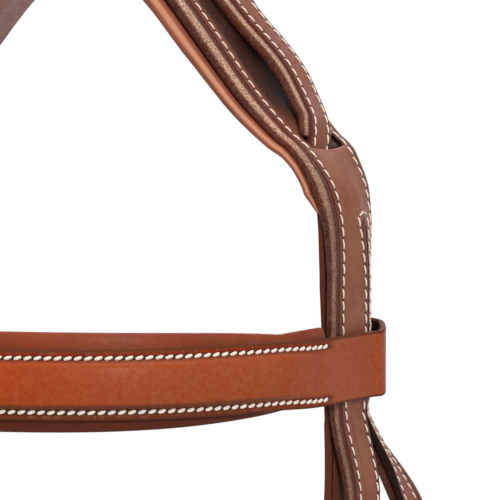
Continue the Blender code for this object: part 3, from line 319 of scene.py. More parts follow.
def add_mesh(name, points, faces, run=None):
    """One object from points and faces, turned outwards, with the vector attribute that its finish reads.

    run holds the distance along, the distance across from the middle, and the distance in from the edge,
    which is below 0 on the sides and the back.
    """
    mesh = bpy.data.meshes.new(name)
    mesh.from_pydata(np.asarray(points, float).reshape(-1, 3).tolist(), [], faces)
    if run is not None:
        layer = mesh.attributes.new("run", "FLOAT_VECTOR", "POINT")
        layer.data.foreach_set("vector", np.asarray(run, np.float32).reshape(-1))
    work = bmesh.new()
    work.from_mesh(mesh)
    bmesh.ops.recalc_face_normals(work, faces=work.faces)
    work.to_mesh(mesh)
    work.free()
    item = bpy.data.objects.new(name, mesh)
    bpy.context.scene.collection.objects.link(item)
    mesh.shade_smooth()
    return item


def grid_faces(rows, columns, around=False, along=False):
    """Four-cornered faces between neighbouring rows and columns of a grid."""
    last_row, last_column = (rows if along else rows - 1), (columns if around else columns - 1)
    i, j = np.meshgrid(np.arange(last_row), np.arange(last_column), indexing="ij")
    k, n = (i + 1) % rows, (j + 1) % columns
    return np.stack([i * columns + j, i * columns + n, k * columns + n, k * columns + j], -1).reshape(-1, 4)


def tube(name, rings, run=None, along=False):
    """A closed skin over rings of points: side faces between rings, and a face over each open end."""
    rows, columns = rings.shape[:2]
    faces = grid_faces(rows, columns, around=True, along=along).tolist()
    if not along:
        faces += [list(range(columns)), list(range((rows - 1) * columns, rows * columns))]
    return add_mesh(name, rings, faces, run)


def circle(count):
    """The cosines and sines of count even steps round a circle."""
    turn = 2 * math.pi * np.arange(count) / count
    return np.cos(turn), np.sin(turn)


def sweep(path, across, out, section):
    """Rings of points: a section of across and out places carried along a path, the same or one each."""
    across, out = (np.broadcast_to(x, path.shape)[:, None] for x in (across, out))
    return path[:, None] + section[..., :1] * across + section[..., 1:] * out


def round_drop(edge):
    """How far a face with rounded edges lies below its full height: a quarter circle in from the edge."""
    inside = np.clip(edge, 0, EDGE_ROUND)
    return EDGE_ROUND - np.sqrt(EDGE_ROUND**2 - (EDGE_ROUND - inside)**2)


def leather(name, middle, outward, edge, run, rise=0.0, keep=None):
    """A leather sheet: a grid's middle moved out and in by half its thickness less the rounding of its edge.

    rise lifts the outer face alone; keep marks the grid's four-cornered faces that exist.
    """
    rows, columns = middle.shape[:2]
    height = (THICK / 2 - round_drop(edge))[..., None]
    points = np.stack([middle + outward * (height + np.asarray(rise)[..., None]), middle - outward * height])
    faces = grid_faces(rows, columns)
    if keep is not None:
        faces = faces[keep.reshape(-1)]
    count = rows * columns
    start, end = faces.reshape(-1), np.roll(faces, -1, 1).reshape(-1)
    lone = ~np.isin(start * count + end, end * count + start)
    start, end = start[lone], end[lone]
    walls = np.stack([end, start, start + count, end + count], 1)
    faces = np.concatenate([faces, faces[:, ::-1] + count, walls])
    used = np.unique(faces)
    place = np.zeros(2 * count, int)
    place[used] = np.arange(len(used))
    back = run * (1, 1, -1) - (0, 0, BACK_SHIFT)
    marks = np.stack([run, back]).reshape(-1, 3)[used]
    return add_mesh(name, points.reshape(-1, 3)[used], place[faces].tolist(), marks)


HOLE_LINES = np.array([-1.9, -1.35, -1, -0.5, 0, 0.5, 1, 1.35, 1.9])
# The room beside a slot's columns, that between others as a share of the half width, and their step
SLOT_ROOM, COLUMN_ROOM, COLUMN_STEP = 4e-4, 0.04, 0.0018


def columns_across(half, extra=()):
    """Distances across a strap: close together in the rounded edges and even between them."""
    half = np.atleast_1d(half)[:, None]
    inner = half - ROUND_STEPS[-1]
    shares = np.linspace(-1, 1, max(3, int(2 * half.max() / COLUMN_STEP) | 1))
    if len(extra):
        extra = np.asarray(extra) / inner.max()
        shares = np.sort(np.append(shares[np.abs(shares[:, None] - extra).min(1) > COLUMN_ROOM], extra))
    middle = shares[None, :] * inner
    return np.concatenate([-half + ROUND_STEPS[None, :-1], middle, half - ROUND_STEPS[None, -2::-1]], 1)


def open_up(along, across, edge, holes=(), slots=()):
    """Round holes and slots in a strap's grid.

    The corners of a square of grid points move in on to the circle of each hole. The distance in from the
    edge becomes the least one, and the faces inside a hole or slot are dropped.
    """
    keep = np.ones((len(along) - 1, along.shape[1] - 1), bool)
    middle_along = (along[1:, 1:] + along[:-1, :-1]) / 2
    middle_across = (across[1:, 1:] + across[:-1, :-1]) / 2
    for place in holes:
        x, y = along - place, across
        square, circle = np.maximum(np.abs(x), np.abs(y)), np.hypot(x, y)
        pull = np.where((square < 1.01 * HOLE_RADIUS) & (circle > 0), square / np.maximum(circle, 1e-9), 1)
        along, across = place + x * pull, y * pull
        edge = np.minimum(edge, np.abs(np.hypot(along - place, across) - HOLE_RADIUS))
        keep &= np.maximum(np.abs(middle_along - place), np.abs(middle_across)) > HOLE_RADIUS
    for start, end, half in slots:
        beside = np.clip(np.abs(across) - half, 0, None)
        beyond = np.clip(np.maximum(start - along, along - end), 0, None)
        edge = np.minimum(edge, np.hypot(beside, beyond))
        inside = (middle_along > start) & (middle_along < end) & (np.abs(middle_across) < half)
        keep &= ~inside
    return along, across, edge, keep


def opening_rows(holes, slots):
    """Distances along where a strap's grid needs rows for its holes and slots."""
    rows = [place + HOLE_RADIUS * HOLE_LINES for place in holes]
    for start, end, _ in slots:
        rows += [start - ROUND_STEPS[:-1], end + ROUND_STEPS[:-1]]
    return np.concatenate(rows) if rows else np.array([])


def strap(name, path, across, width, facing, at=0.5, ends=(0.0, 0.0), dome=DOME, step=0.003, holes=(),
          slots=(), sewn=(), margin=0.0024):
    """A strap carried along a path, whose outer face looks the way facing at a share of its length.

    ends gives the length of each pointed end, where its width is that of a half ellipse. The outer face
    rises by dome in the middle, as a parabola. sewn holds the distances between which stitches run along
    both edges, margin in from them, or from the first and the second; their tracks are given back too.
    """
    width = np.broadcast_to(width, len(path)).astype(float)
    path, across, width = fill_in(step, path, across, width, ends=True, extra=opening_rows(holes, slots))
    across, outward = square_up(across, path)
    run = lengths(path)
    outward = outward * np.sign(outward[np.searchsorted(run, at * run[-1])] @ np.asarray(facing, float))
    full = width / 2
    half = full.copy()
    for point, distance in zip(ends, (run, run[-1] - run)):
        if point:
            half *= rounded(distance, point, POINT_LEAST)
    tracks = []
    for start, end in sewn:
        inside = (run >= start) & (run <= end)
        for sign, inward in zip((-1, 1), np.broadcast_to(margin, 2)):
            place = half - inward
            high = THICK / 2 + dome * (1 - (place / half)**2)
            track = path + (sign * place)[:, None] * across + high[:, None] * outward
            tracks.append((track[inside], outward[inside]))
    extra = np.concatenate([HOLE_RADIUS * HOLE_LINES if len(holes) else [],
                            *[(-side - SLOT_ROOM, -side, side, side + SLOT_ROOM)
                              for _, _, side in slots[:1]]])
    places = columns_across(half, extra=extra)
    edge = np.minimum(half[:, None] - np.abs(places), np.minimum(run, run[-1] - run)[:, None])
    along = np.broadcast_to(run[:, None], places.shape)
    along, places, edge, keep = open_up(along, places, edge, holes, slots)
    base, turned, facing = (read(row, run, along) for row in (path, across, outward))
    middle = base + places[..., None] * turned
    marks = np.stack([along, places, edge], -1)
    rise = dome * (1 - (places / half[:, None])**2)
    return leather(name, middle, unit(facing), np.clip(edge, 0, 1), marks, rise, keep), tracks


STITCH_SIDES = 6
STITCH_PLACES = (-1, -0.72, -0.25, 0.25, 0.72, 1)
# Shares of half a thread's width: how much of the ellipse is left off at the ends, how high the middle
# stands, how far the ends drop, and how deep the thread is
THREAD_TAPER, THREAD_RISE, THREAD_DROP, THREAD_DEPTH = 0.93, 0.55, 1.3, 0.8


def stitches(name, rows, length, radius, slant=0.0, flat=1.0):
    """Thread stitches: a round bead whose middle stands up and whose two ends go down into the leather.

    rows holds places, directions along the seam and directions out; the bead's width is that of an
    ellipse along its length, and its middle drops with t to the fourth power, with t from -1 to 1.
    """
    place, along, out = (np.concatenate([row[i] for row in rows]) for i in range(3))
    across = unit(np.cross(out, along))
    along = unit(np.cross(across, out))
    along, across = (math.cos(slant) * along + math.sin(slant) * across,
                     math.cos(slant) * across - math.sin(slant) * along)
    t = np.array(STITCH_PLACES)[:, None]
    wide = radius * np.sqrt(1 - (THREAD_TAPER * t)**2)
    lift = flat * radius * (THREAD_RISE - THREAD_DROP * t**4)
    cos, sin = circle(STITCH_SIDES)
    shape = np.broadcast_arrays(t * length / 2, wide * cos, lift + flat * wide * THREAD_DEPTH * sin)
    shape = np.stack(shape, -1).reshape(-1, 3)
    points = (place[:, None] + shape[None, :, :1] * along[:, None] + shape[None, :, 1:2] * across[:, None]
              + shape[None, :, 2:] * out[:, None])
    sides = grid_faces(len(t), STITCH_SIDES, around=True)
    each = len(shape)
    shift = each * np.arange(len(place))[:, None, None]
    faces = (sides[None] + shift).reshape(-1, 4).tolist()
    caps = np.stack([np.arange(STITCH_SIDES), each - 1 - np.arange(STITCH_SIDES)])
    faces += (caps[None] + shift).reshape(-1, STITCH_SIDES).tolist()
    marks = np.stack([shape[:, 0] / length, shape[:, 1] / radius, shape[:, 2] / radius], -1)
    return add_mesh(name, points, faces, np.broadcast_to(marks, (len(place),) + marks.shape))


def seam(path, out, pitch, offset=0.5):
    """Stitch places at an even pitch along a path, with the seam's and the outward directions there."""
    run = lengths(path)
    count = max(1, round(run[-1] / pitch))
    wanted = (np.arange(count) + offset) * run[-1] / count
    wanted = wanted[wanted < run[-1]]
    place, along, facing = (read(row, run, wanted) for row in (path, tangents(path), out))
    return place, unit(along), unit(facing)


# Where the straps run

class Line:
    """A straight stretch of buckled strap: up leads from the buckle's bar to the strap with the holes."""

    def __init__(self, origin, up, outward_hint, width, side=1):
        up, hint = unit(np.asarray(up, float)), np.asarray(outward_hint, float)
        out = unit(hint - hint @ up * up)
        self.origin, self.up, self.out = flip(origin, side), flip(up, side), flip(out, side)
        self.across = flip(np.cross(up, out), side)
        self.width, self.side = width, side

    def place(self, along, out, across=0.0):
        """Points at distances along, outwards and across from the buckle's bar."""
        along, out, across = np.broadcast_arrays(along, out, across)
        return (self.origin + along[..., None] * self.up + out[..., None] * self.out
                + across[..., None] * self.across)


def cheek_line(side=1):
    """From below the browband straight to the bit."""
    down = unit(np.array(CHEEK_RUN))
    return Line(np.array(CHEEK_TOP) * SIDE_SIZE + down * TAIL_TOP, -down, (1, 0, 0), CHEEK_WIDTH, side)


def throat_line(side=1):
    """From below the browband straight down and back."""
    down = unit(np.array(THROAT_RUN))
    return Line(np.array(THROAT_TOP) * SIDE_SIZE + down * TAIL_TOP, -down, THROAT_FACE, THROAT_STRAP, side)


def noseband_line():
    """The left side of the noseband, from its buckle's bar to the ring's upper bar."""
    ring = np.array([NOSE_HALF, RING_PLACE, RING_HALF - NOSEBAND_DROP])
    top = np.array([NOSEBAND_TOP[0] * HALF_WIDTH, RING_PLACE, NOSEBAND_TOP[1] * BROWBAND_DROP])
    up = unit(top - ring)
    return Line(ring + up * NOSE_STRAP_LENGTH, up, (1, 0, 0), HEADSTRAP_WIDTH)


def jaw_line():
    """The straight stretch behind the jaw, from the right side's strap to the left's."""
    return Line((JAW_PLACE, RING_PLACE + JAW_REACH, -NOSEBAND_DROP), (-1, 0, 0), (0, 1, 0), JAW_WIDTH)


def ring_line(sign):
    """The line of a strap that folds round the noseband ring's front (-1) or rear (1) bar."""
    place = (NOSE_HALF, RING_PLACE + sign * RING_HALF, -NOSEBAND_DROP)
    return Line(place, (0, -sign, 0), (1, 0, 0), JAW_WIDTH)


def fold_path():
    """Along and out places of a strap end that folds round a bar: inner tip, arc, outer layer."""
    turn = FOLD * arc(-110, 90, 28)
    inner = -KEEPER_PLACE + KEEPER_WIDTH / 2 + GAP
    lead = [(-FOLD_LENGTH, UNDER), (inner, UNDER), (inner / 2, 0.5 * (UNDER + turn[0][1]))]
    return np.concatenate([lead, turn])


def point_path():
    """The end with the holes: under the far bar, up through the frame along half a cosine, over the strap."""
    share = np.linspace(1, 0, 20)
    rise = POINT - (POINT + FOLD) * ease(share)
    return np.concatenate([np.stack([share * BUCKLE_LENGTH, rise], -1), [(-POINT_LENGTH, POINT)]])


def tail_path(line, start, top):
    """The middle of a tail from the arch's last two points through its buckle to its tip."""
    lead = line.place(np.array([top, (top + BUCKLE_LENGTH) / 2, BUCKLE_LENGTH + BAR]), -FOLD)
    return np.concatenate([lead_on(start, lead), line.place(*point_path().T)])


# Where a tail starts to turn from the arch's direction across to its line's own, and over what length
TURN_START, TURN_LENGTH = 0.014, 0.030


def tail_axes(line, path, across_start):
    """Across turns from the arch's to its line's own after a first stretch; outward is square to both."""
    share = np.clip((lengths(path) - TURN_START) / TURN_LENGTH, 0, 1)[:, None]
    across, outward = square_up((1 - share) * across_start + share * line.across, path)
    return across, outward * np.sign(outward[0, 0])


# The bend between the crown's two halves is soft above the split: half its length at the split, and how
# much more it has BEND_STATIONS above
BEND_LEAST, BEND_MORE, BEND_STATIONS = 0.0002, 0.005, 4
# Stations to each side between which the arch's direction is read
NEARBY = 0.02


class Arch:
    """The headpiece from the middle of the crown down the left side, at given stations.

    Row by row it holds the front edge, the directions across to the rear and out for the cheek's half and
    the throat's, the widths of both, and the distance of the rear edge behind the front one.
    """

    def __init__(self, stations=STATIONS):
        size = np.array([HALF_WIDTH, CROWN_WIDTH, BROWBAND_DROP])
        table = np.array(ARCH)
        flat = [(0, -CROWN_WIDTH / 2, CROWN_STACK), (PAD_FLAT / 2, -CROWN_WIDTH / 2, CROWN_STACK)]
        places = np.concatenate([flat, table[:, [0, 2, 1]] * size + (0, 0, CROWN_STACK)])
        self.t = np.asarray(stations, float)
        self.edge = curve_at(places, self.t)
        ahead, behind = (curve_at(places, np.clip(self.t + shift, 0, len(places) - 1))
                         for shift in (NEARBY, -NEARBY))
        along = unit(ahead - behind)
        along = unit(along + (np.array([1, 0, 0]) - along) * np.clip(1 - self.t, 0, 1)[:, None])
        self.across = unit(np.array([0, 1, 0]) - along[:, 1:2] * along)
        self.out = np.cross(self.across, along) * -1
        self.out *= np.sign(self.out[:, 2:] + self.out[:, :1])
        narrow = np.interp(self.t, np.arange(len(places)), np.concatenate([[0, 0], table[:, 3]]))
        self.cheek = CROWN_WIDTH / 2 + narrow * (CHEEK_WIDTH - CROWN_WIDTH / 2)
        self.throat = CROWN_WIDTH / 2 - SPLIT_GAP + narrow * (THROAT_WIDTH - CROWN_WIDTH / 2 + SPLIT_GAP)
        turn = (np.interp(self.t, TURN_STATIONS, (0, 1)) * THROAT_TURN)[:, None]
        wide = np.interp(self.t, WIDE_STATIONS, (0, 1, 1, 0))
        self.edge = self.edge - (wide * WIDE_FRONT)[:, None] * np.array([0, 1.0, 0])
        self.cheek = self.cheek + wide * (WIDE_FRONT + WIDE_REAR)
        self.rear_across = np.cos(turn) * self.across - np.sin(turn) * self.out
        self.rear_out = np.cos(turn) * self.out + np.sin(turn) * self.across
        self.last = self.cheek + SPLIT_GAP + self.throat
        self.soft = BEND_LEAST + BEND_MORE * np.clip((SPLIT_STATION - self.t) / BEND_STATIONS, 0, 1)

    def nearest(self, station):
        """The row that is nearest to a station."""
        return np.argmin(np.abs(self.t - station))

    def ends(self):
        """The rows that a tail's curve starts from."""
        return [self.nearest(len(ARCH)), -1]

    def track(self, distance, out=0.0):
        """One point and its outward direction in each row."""
        points, outward = self.place(distance, out)
        return points[:, 0], outward[:, 0]

    def place(self, distance, out):
        """Points behind the front edge and out from the face: a bend of two straight lines, rounded by a
        parabola over the distance soft to each side of the seam."""
        distance = np.asarray(distance, float)
        if distance.ndim < 2:
            distance = np.broadcast_to(distance, len(self.t))[:, None]
        seam = self.cheek[:, None]
        soft = self.soft[:, None]
        q = np.clip((distance - seam + soft) / (2 * soft), 0, 1)[..., None]
        low = np.minimum(distance, seam - soft)[..., None] * self.across[:, None]
        high = np.maximum(distance - seam - soft, 0)[..., None] * self.rear_across[:, None]
        bend = soft[..., None] * ((1 - (1 - q)**2) * self.across[:, None] + q**2 * self.rear_across[:, None])
        outward = unit((1 - q) * self.out[:, None] + q * self.rear_out[:, None])
        points = self.edge[:, None] + low + bend + high
        return points + np.reshape(out, (-1, 1, 1)) * outward, outward


# The headpiece and what lies under it

SLOT_STATIONS = (11.4, 12.15)
# The slot's distances from the front and rear edges, how far its lower lip bows down, and the distance
# along over which the bow fades. Its marks for the finish rise SLOT_MARKS times as fast as a strap's.
SLOT_FRONT, SLOT_REAR, SLOT_BOW, SLOT_BOW_REACH = 0.0056, 0.0047, 0.0014, 0.004
SLOT_MARKS = 8
# The outer seams' distances in from the front and rear edges, how far all seams go on down the tails, and
# the stations between a seam's points below the split
STITCH_MARGIN, REAR_MARGIN = 0.0024, 0.0040
SEAM_END, SEAM_STEP = 0.048, 0.1
STATIONS_PER_METRE = 1000 / 7
# The step between a tail's rows, the length of its pointed end, and its width at the tip as a share
TAIL_STEP, TIP_LENGTH, TIP_LEAST = 0.0025, 0.014, 0.25
# The seam round the split: how many stations above it its bow starts, how many a metre of its radius takes
# up, its distance from the slit, and how much wider it is at its top, which fades over SPLIT_FADE stations
SPLIT_TOP, SPLIT_STATIONS, SPLIT_MARGIN, SPLIT_WIDER, SPLIT_FADE = 0.18, 150, 0.0022, 0.0017, 0.8


def between(start, end, count):
    """Columns evenly between two columns of distances, without either of them."""
    share = np.linspace(0, 1, count + 2)[1:-1]
    return start + share * (end - start)


# Groups of the crown's columns: the cheek's last, the last ahead of the slot, and the slot's last
CHEEK_GROUP, SLOT_AHEAD, SLOT_GROUP = 6, 2, 10


def crown_columns(cheek, throat):
    """Distances behind the front edge, close together at each edge of the leather and of its slot.

    The second result has the count of columns up to the end of each group of them.
    """
    cheek, throat = cheek[:, None], throat[:, None]
    last = cheek + SPLIT_GAP + throat
    near, far = ROUND_STEPS[None], ROUND_STEPS[None, ::-1]
    room = ROUND_STEPS[-1]
    zero = 0 * cheek
    slot_end = last - SLOT_REAR
    holes = HOLE_RADIUS * HOLE_LINES[None]
    second = cheek + SPLIT_GAP
    parts = [zero + near, between(zero + room, zero + SLOT_FRONT - room, 1), zero + SLOT_FRONT - far,
             between(zero + SLOT_FRONT, cheek / 2 + holes[:, :1], 1), cheek / 2 + holes,
             between(cheek / 2 + holes[:, -1:], cheek - room, 3), cheek - far,
             second + near, between(second + room, second + throat / 2 + holes[:, :1], 1),
             second + throat / 2 + holes[:, :-1], between(second + throat / 2 + holes[:, -2:-1], slot_end, 1),
             slot_end + near, between(slot_end + room, last - room, 1), last - far]
    sizes = np.cumsum([part.shape[1] for part in parts])
    return np.concatenate(parts, 1), sizes


def tail_openings(height, along):
    """Holes and the tongue's slot as distances along a tail, from its heights over the buckle's bar."""
    middle = TONGUE_SLOT / 2 + GAP
    holes = [float(np.interp(middle + i * HOLE_PITCH, height, along)) for i in (-2, -1, 1, 2)]
    start, end = (float(np.interp(x, height, along)) for x in (GAP + TONGUE_SLOT, GAP))
    return holes, [(start, end, TONGUE + 2 * GAP)]


class Headpiece:
    """The crown and both left tails, row by row: the leather's middle at distances behind its front edge."""

    def __init__(self):
        extra = [place + sign * STATIONS_PER_METRE * ROUND_STEPS for place in (*SLOT_STATIONS, SPLIT_STATION)
                 for sign in (-1, 1)]
        arch = Arch(np.unique(np.round(np.concatenate([STATIONS, *extra]), 4)))
        self.arch = arch
        self.rows = len(arch.t)
        tails = {}
        for key, line, low, width in (("cheek", cheek_line(), 0 * arch.cheek, arch.cheek),
                                      ("throat", throat_line(), arch.cheek + SPLIT_GAP, arch.throat)):
            points, outward = arch.track(low + width / 2, -THICK / 2)
            across = arch.across if key == "cheek" else arch.rear_across
            path = tail_path(line, points[arch.ends()], TAIL_TOP if key == "cheek" else THROAT_LEAD)
            turned, facing = tail_axes(line, path, across[-1])
            tails[key] = [np.concatenate([above[-1:], below])
                          for above, below in ((points, path), (across, turned), (outward, facing))]
        self.openings, marks = {}, {}
        for key, line in (("cheek", cheek_line()), ("throat", throat_line())):
            path, along = tails[key][0], lengths(tails[key][0])
            height = ((path - line.origin) @ line.up)[::-1]
            holes, slots = tail_openings(height, along[::-1])
            self.openings[key] = holes, slots
            marks[key] = opening_rows(holes, slots) / along[-1]
        extra = np.concatenate([marks["cheek"], marks["throat"]]) * lengths(tails["cheek"][0])[-1]
        path, across, facing = fill_in(TAIL_STEP, *tails["cheek"], ends=True, extra=extra)
        share = lengths(path) / lengths(path)[-1]
        run = lengths(tails["throat"][0])
        throat = [read(row, run, share * run[-1]) for row in tails["throat"]]
        self.tails = {"cheek": (path[1:], unit(across[1:]), unit(facing[1:]), CHEEK_WIDTH),
                      "throat": (throat[0][1:], unit(throat[1][1:]), unit(throat[2][1:]), THROAT_STRAP)}

    def place(self, distance, part):
        """Points, outward directions and run marks for distances behind the front edge, along one tail."""
        arch = self.arch
        points, outward = arch.place(distance[:self.rows], -THICK / 2)
        path, across, facing, width = self.tails[part]
        low = arch.cheek[-1] + SPLIT_GAP if part == "throat" else 0.0
        beyond = distance[self.rows:] - low - width / 2
        first = points[-1, np.argmin(np.abs(distance[self.rows - 1] - low - width / 2))]
        run = lengths(np.concatenate([first[None], path]))[1:]
        left = (run[-1] - run)[:, None]
        tip = rounded(left, TIP_LENGTH, TIP_LEAST)
        edge = width / 2 * tip - np.abs(beyond * tip)
        along = run[:, None] + 0 * beyond
        along, beyond, edge, keep = open_up(along, beyond * tip, edge, *self.openings[part])
        base, turned, out = (read(row, run, along) for row in (path, across, facing))
        points = np.concatenate([points, base + beyond[..., None] * turned])
        outward = np.concatenate([outward, unit(out)])
        middle = np.concatenate([arch.edge + arch.cheek[:, None] / 2 * arch.across, path])
        return points, outward, lengths(middle), left[:, 0], edge, keep


def make_headpiece():
    """The crown leather, its slots for the headstrap and its two tails on each side, as one sheet."""
    head = Headpiece()
    arch = head.arch
    count = head.rows + len(head.tails["cheek"][0])
    cheek = np.concatenate([arch.cheek, np.full(count - head.rows, CHEEK_WIDTH)])
    throat = np.concatenate([arch.throat, np.full(count - head.rows, THROAT_STRAP)])
    distance, sizes = crown_columns(cheek, throat)
    front = head.place(distance, "cheek")
    rear = head.place(distance, "throat")
    first_rear = sizes[CHEEK_GROUP]
    middle, outward = (np.concatenate([front[i][:, :first_rear], rear[i][:, first_rear:]], 1) for i in (0, 1))
    run = front[2]
    split = arch.nearest(SPLIT_STATION)
    slot = [arch.nearest(station) for station in SLOT_STATIONS]
    last = (cheek + SPLIT_GAP + throat)[:, None]
    beside = np.where(distance < cheek[:, None] + SPLIT_GAP / 2, cheek[:, None] - distance,
                      distance - cheek[:, None] - SPLIT_GAP)
    slit = np.hypot(beside, np.clip(run[split] - run, 0, None)[:, None])
    slot_gap = np.hypot(np.clip(np.maximum(SLOT_FRONT - distance, distance - last + SLOT_REAR), 0, None),
                        np.clip(np.maximum(run[slot[0]] - run, run - run[slot[1]]), 0, None)[:, None])
    tips = np.concatenate([np.full(head.rows, 1.0), front[3]])[:, None]
    outer = np.minimum.reduce([distance, last - distance, slit, tips + 0 * distance])
    edge = np.minimum(outer, slot_gap)
    keep = np.ones((count - 1, distance.shape[1] - 1), bool)
    for part, columns in ((front, slice(first_rear)), (rear, slice(first_rear, None))):
        edge[head.rows:, columns] = np.minimum(edge[head.rows:], part[4])[:, columns]
        keep[head.rows:, columns] = part[5][:, columns]
    keep[split:, first_rear - 1] = False
    keep[slot[0]:slot[1], sizes[SLOT_AHEAD] - 1:sizes[SLOT_GROUP]] = False
    across_mark = np.where(distance < cheek[:, None] + SPLIT_GAP / 2, distance - cheek[:, None] / 2,
                           distance - cheek[:, None] - SPLIT_GAP - throat[:, None] / 2)
    marked = np.maximum(np.minimum(outer, SLOT_MARKS * slot_gap), edge)
    marks = np.stack([run[:, None] + 0 * distance, across_mark, marked], -1)
    slot_middle, slot_half = (SLOT_FRONT + last - SLOT_REAR) / 2, (last - SLOT_REAR - SLOT_FRONT) / 2
    bow = SLOT_BOW * np.clip(1 - ((distance - slot_middle) / slot_half)**2, 0, 1)
    below = run[:, None] - run[slot[1]]
    bow = np.where(below >= 0, bow * np.exp(-np.clip(below, 0, None) / SLOT_BOW_REACH), 0)
    middle = middle + bow[..., None] * unit(np.gradient(middle, axis=0))
    item = leather("headpiece", both(middle), both(outward), np.concatenate([edge[:0:-1], edge]), both(marks),
                   keep=np.concatenate([keep[::-1], keep]))
    return item, head


def headpiece_seams(head):
    """The stitch rows: along the front and rear edges, and round the split's top down both its sides."""
    arch = head.arch
    tracks, ends = [], {}
    for key, margins in (("cheek", (STITCH_MARGIN, SPLIT_MARGIN)), ("throat", (SPLIT_MARGIN, REAR_MARGIN))):
        path, across, facing, width = head.tails[key]
        upto = lengths(path) < SEAM_END
        ends[key] = [(path[upto] + sign * (width / 2 - margin) * across[upto] + THICK / 2 * facing[upto],
                      facing[upto]) for sign, margin in zip((-1, 1), margins)]
    for distance, tail in ((np.full(len(arch.t), STITCH_MARGIN), ends["cheek"][0]),
                           (arch.last - REAR_MARGIN, ends["throat"][1])):
        tracks.append([both(np.concatenate(rows)) for rows in zip(arch.track(distance), tail)])
    cos, sin = arc(-90, 90, 16).T
    down = np.arange(SPLIT_STATION + SEAM_STEP, STATIONS[-1] + SEAM_STEP / 10, SEAM_STEP)
    radius = SPLIT_MARGIN + SPLIT_GAP / 2
    top = SPLIT_STATION - SPLIT_TOP - SPLIT_STATIONS * radius * cos
    stations = np.concatenate([down[::-1], top, down])
    bow = Arch(stations)
    shift = np.concatenate([np.full(len(down), -1), sin, np.full(len(down), 1)])
    radius = radius + SPLIT_WIDER * np.exp(-np.clip(stations - SPLIT_STATION, 0, None) / SPLIT_FADE)
    round_top = bow.track(bow.cheek + SPLIT_GAP / 2 + radius * shift)
    rows = [np.concatenate([cheek[::-1], top, throat])
            for cheek, top, throat in zip(ends["cheek"][1], round_top, ends["throat"][0])]
    return tracks + [[flip(row, side) for row in rows] for side, _ in SIDES]


REAR_CUT, REAR_SOFT = 0.06, 0.25


def layer_rings(front, across, out, middle, middle_out, rear, rear_out, top, thick, radius, ahead, wide=1.0,
                turns=20):
    """A padded layer's section: a round roll ahead of the front edge, then flat to its rear end.

    The roll is three quarters of an ellipse, wide times as wide as it is deep; the flat part is thick deep
    and lies top in from the leather. Its rear edge is cut back by REAR_CUT of its width at both faces and
    by REAR_SOFT of its thickness at its end.
    """
    cos, sin = arc(0, 270, turns).T[:, None, :, None]
    low = top + thick
    radius, ahead, low, top = (np.broadcast_to(x, len(front))[:, None, None]
                               for x in (radius, ahead, low, top))
    roll = (front[:, None] + (wide * radius * cos - ahead) * across[:, None]
            + (radius * (1 + sin) - low) * out[:, None])
    low, top = low[:, 0], top[:, 0]
    soft = REAR_SOFT * (low - top)
    cut = rear - (rear - middle) * REAR_CUT
    flat = [middle - low * middle_out, cut - low * rear_out, rear - (low - soft) * rear_out,
            rear - (top + soft) * rear_out, cut - top * rear_out, middle - top * middle_out,
            front + GAP * across - top * out]
    return np.concatenate([roll, np.stack(flat, 1)], 1)


def ring_marks(rings, crest=None):
    """Distance along from the middle, the place round the section from 0 to 1, and the nearness to the
    painted highlight along a roll, which falls from 1 to 0 over HIGHLIGHT_REACH of the section on each side."""
    run = lengths(rings[:, 0])
    run = (run - run[-1] / 2)[:, None]
    round_ = np.linspace(0, 1, rings.shape[1])[None]
    near = np.clip(1 - np.abs(round_ - crest) / HIGHLIGHT_REACH, 0, 1) if crest else 0 * round_
    return np.stack(np.broadcast_arrays(run, round_, near), -1)


# How far the lining's roll stands ahead of the leather, and how much wider than deep it is
ROLL_AHEAD, ROLL_WIDE = 0.0024, 1.22
# Where round each section the painted highlight along a roll lies, and how far it reaches
ROLL_HIGHLIGHT, HEADSTRAP_HIGHLIGHT, PAD_HIGHLIGHT, HIGHLIGHT_REACH = 0.355, 0.475, 0.42, 0.095


# The lining's bend once it has narrowed, as a share of the cheek tail's width, and its least thickness
LINING_INNER, LINING_LEAST = 0.6, 0.0008


def make_headpiece_lining(head):
    """The padded lining under the crown and the cheek tails, with its stitched roll in front."""
    arch = head.arch
    share = np.clip((arch.t - LINING_NARROWS) / (SPLIT_STATION - LINING_NARROWS), 0, 1)[:, None]
    seam_points, seam_out = arch.track(arch.cheek)
    rear_points, rear_out = arch.track(arch.last)
    inner_points, inner_out = arch.track(arch.cheek * LINING_INNER)
    middle = seam_points + share * (inner_points - seam_points)
    middle_out = unit(seam_out + share * (inner_out - seam_out))
    rear = rear_points + share * (seam_points - rear_points)
    back_out = unit(rear_out + share * (seam_out - rear_out))
    slim = np.interp(arch.t, SLIM_STATIONS, SLIM)
    thick = np.maximum(LINING_THICK - 2 * (1 - slim) * ROLL_RADIUS, LINING_LEAST)
    crown = layer_rings(arch.edge, arch.across, arch.out, middle, middle_out, rear, back_out, THICK + GAP,
                        thick, slim * ROLL_RADIUS, slim * ROLL_AHEAD, ROLL_WIDE)
    line = cheek_line()
    ends = line.place(np.array([TAIL_TOP, LINING_END]), -BAR - GAP)
    path = lead_on(arch.track(arch.cheek / 2)[0][arch.ends()], ends)
    across, out = tail_axes(line, path, arch.across[-1])
    half = line.width / 2 * across
    tail = layer_rings(path - half, across, out, path, out, path + half, out, THICK + GAP, thick[-1],
                       slim[-1] * ROLL_RADIUS, slim[-1] * ROLL_AHEAD, ROLL_WIDE)
    rings = both(np.concatenate([crown, tail]))
    return tube("headpiece_lining_padded", rings, ring_marks(rings, ROLL_HIGHLIGHT))


# In stations: how far the poll pad's point goes past its last radius, the length of its closely spaced
# rows and of its rounding, and where it starts to narrow behind its roll and over what length
PAD_PAST, PAD_FINE, PAD_ROUND, PAD_NARROWS, PAD_NARROWING = 0.2, 0.5, 1.2, 10, 2
PAD_LEAST = 0.04


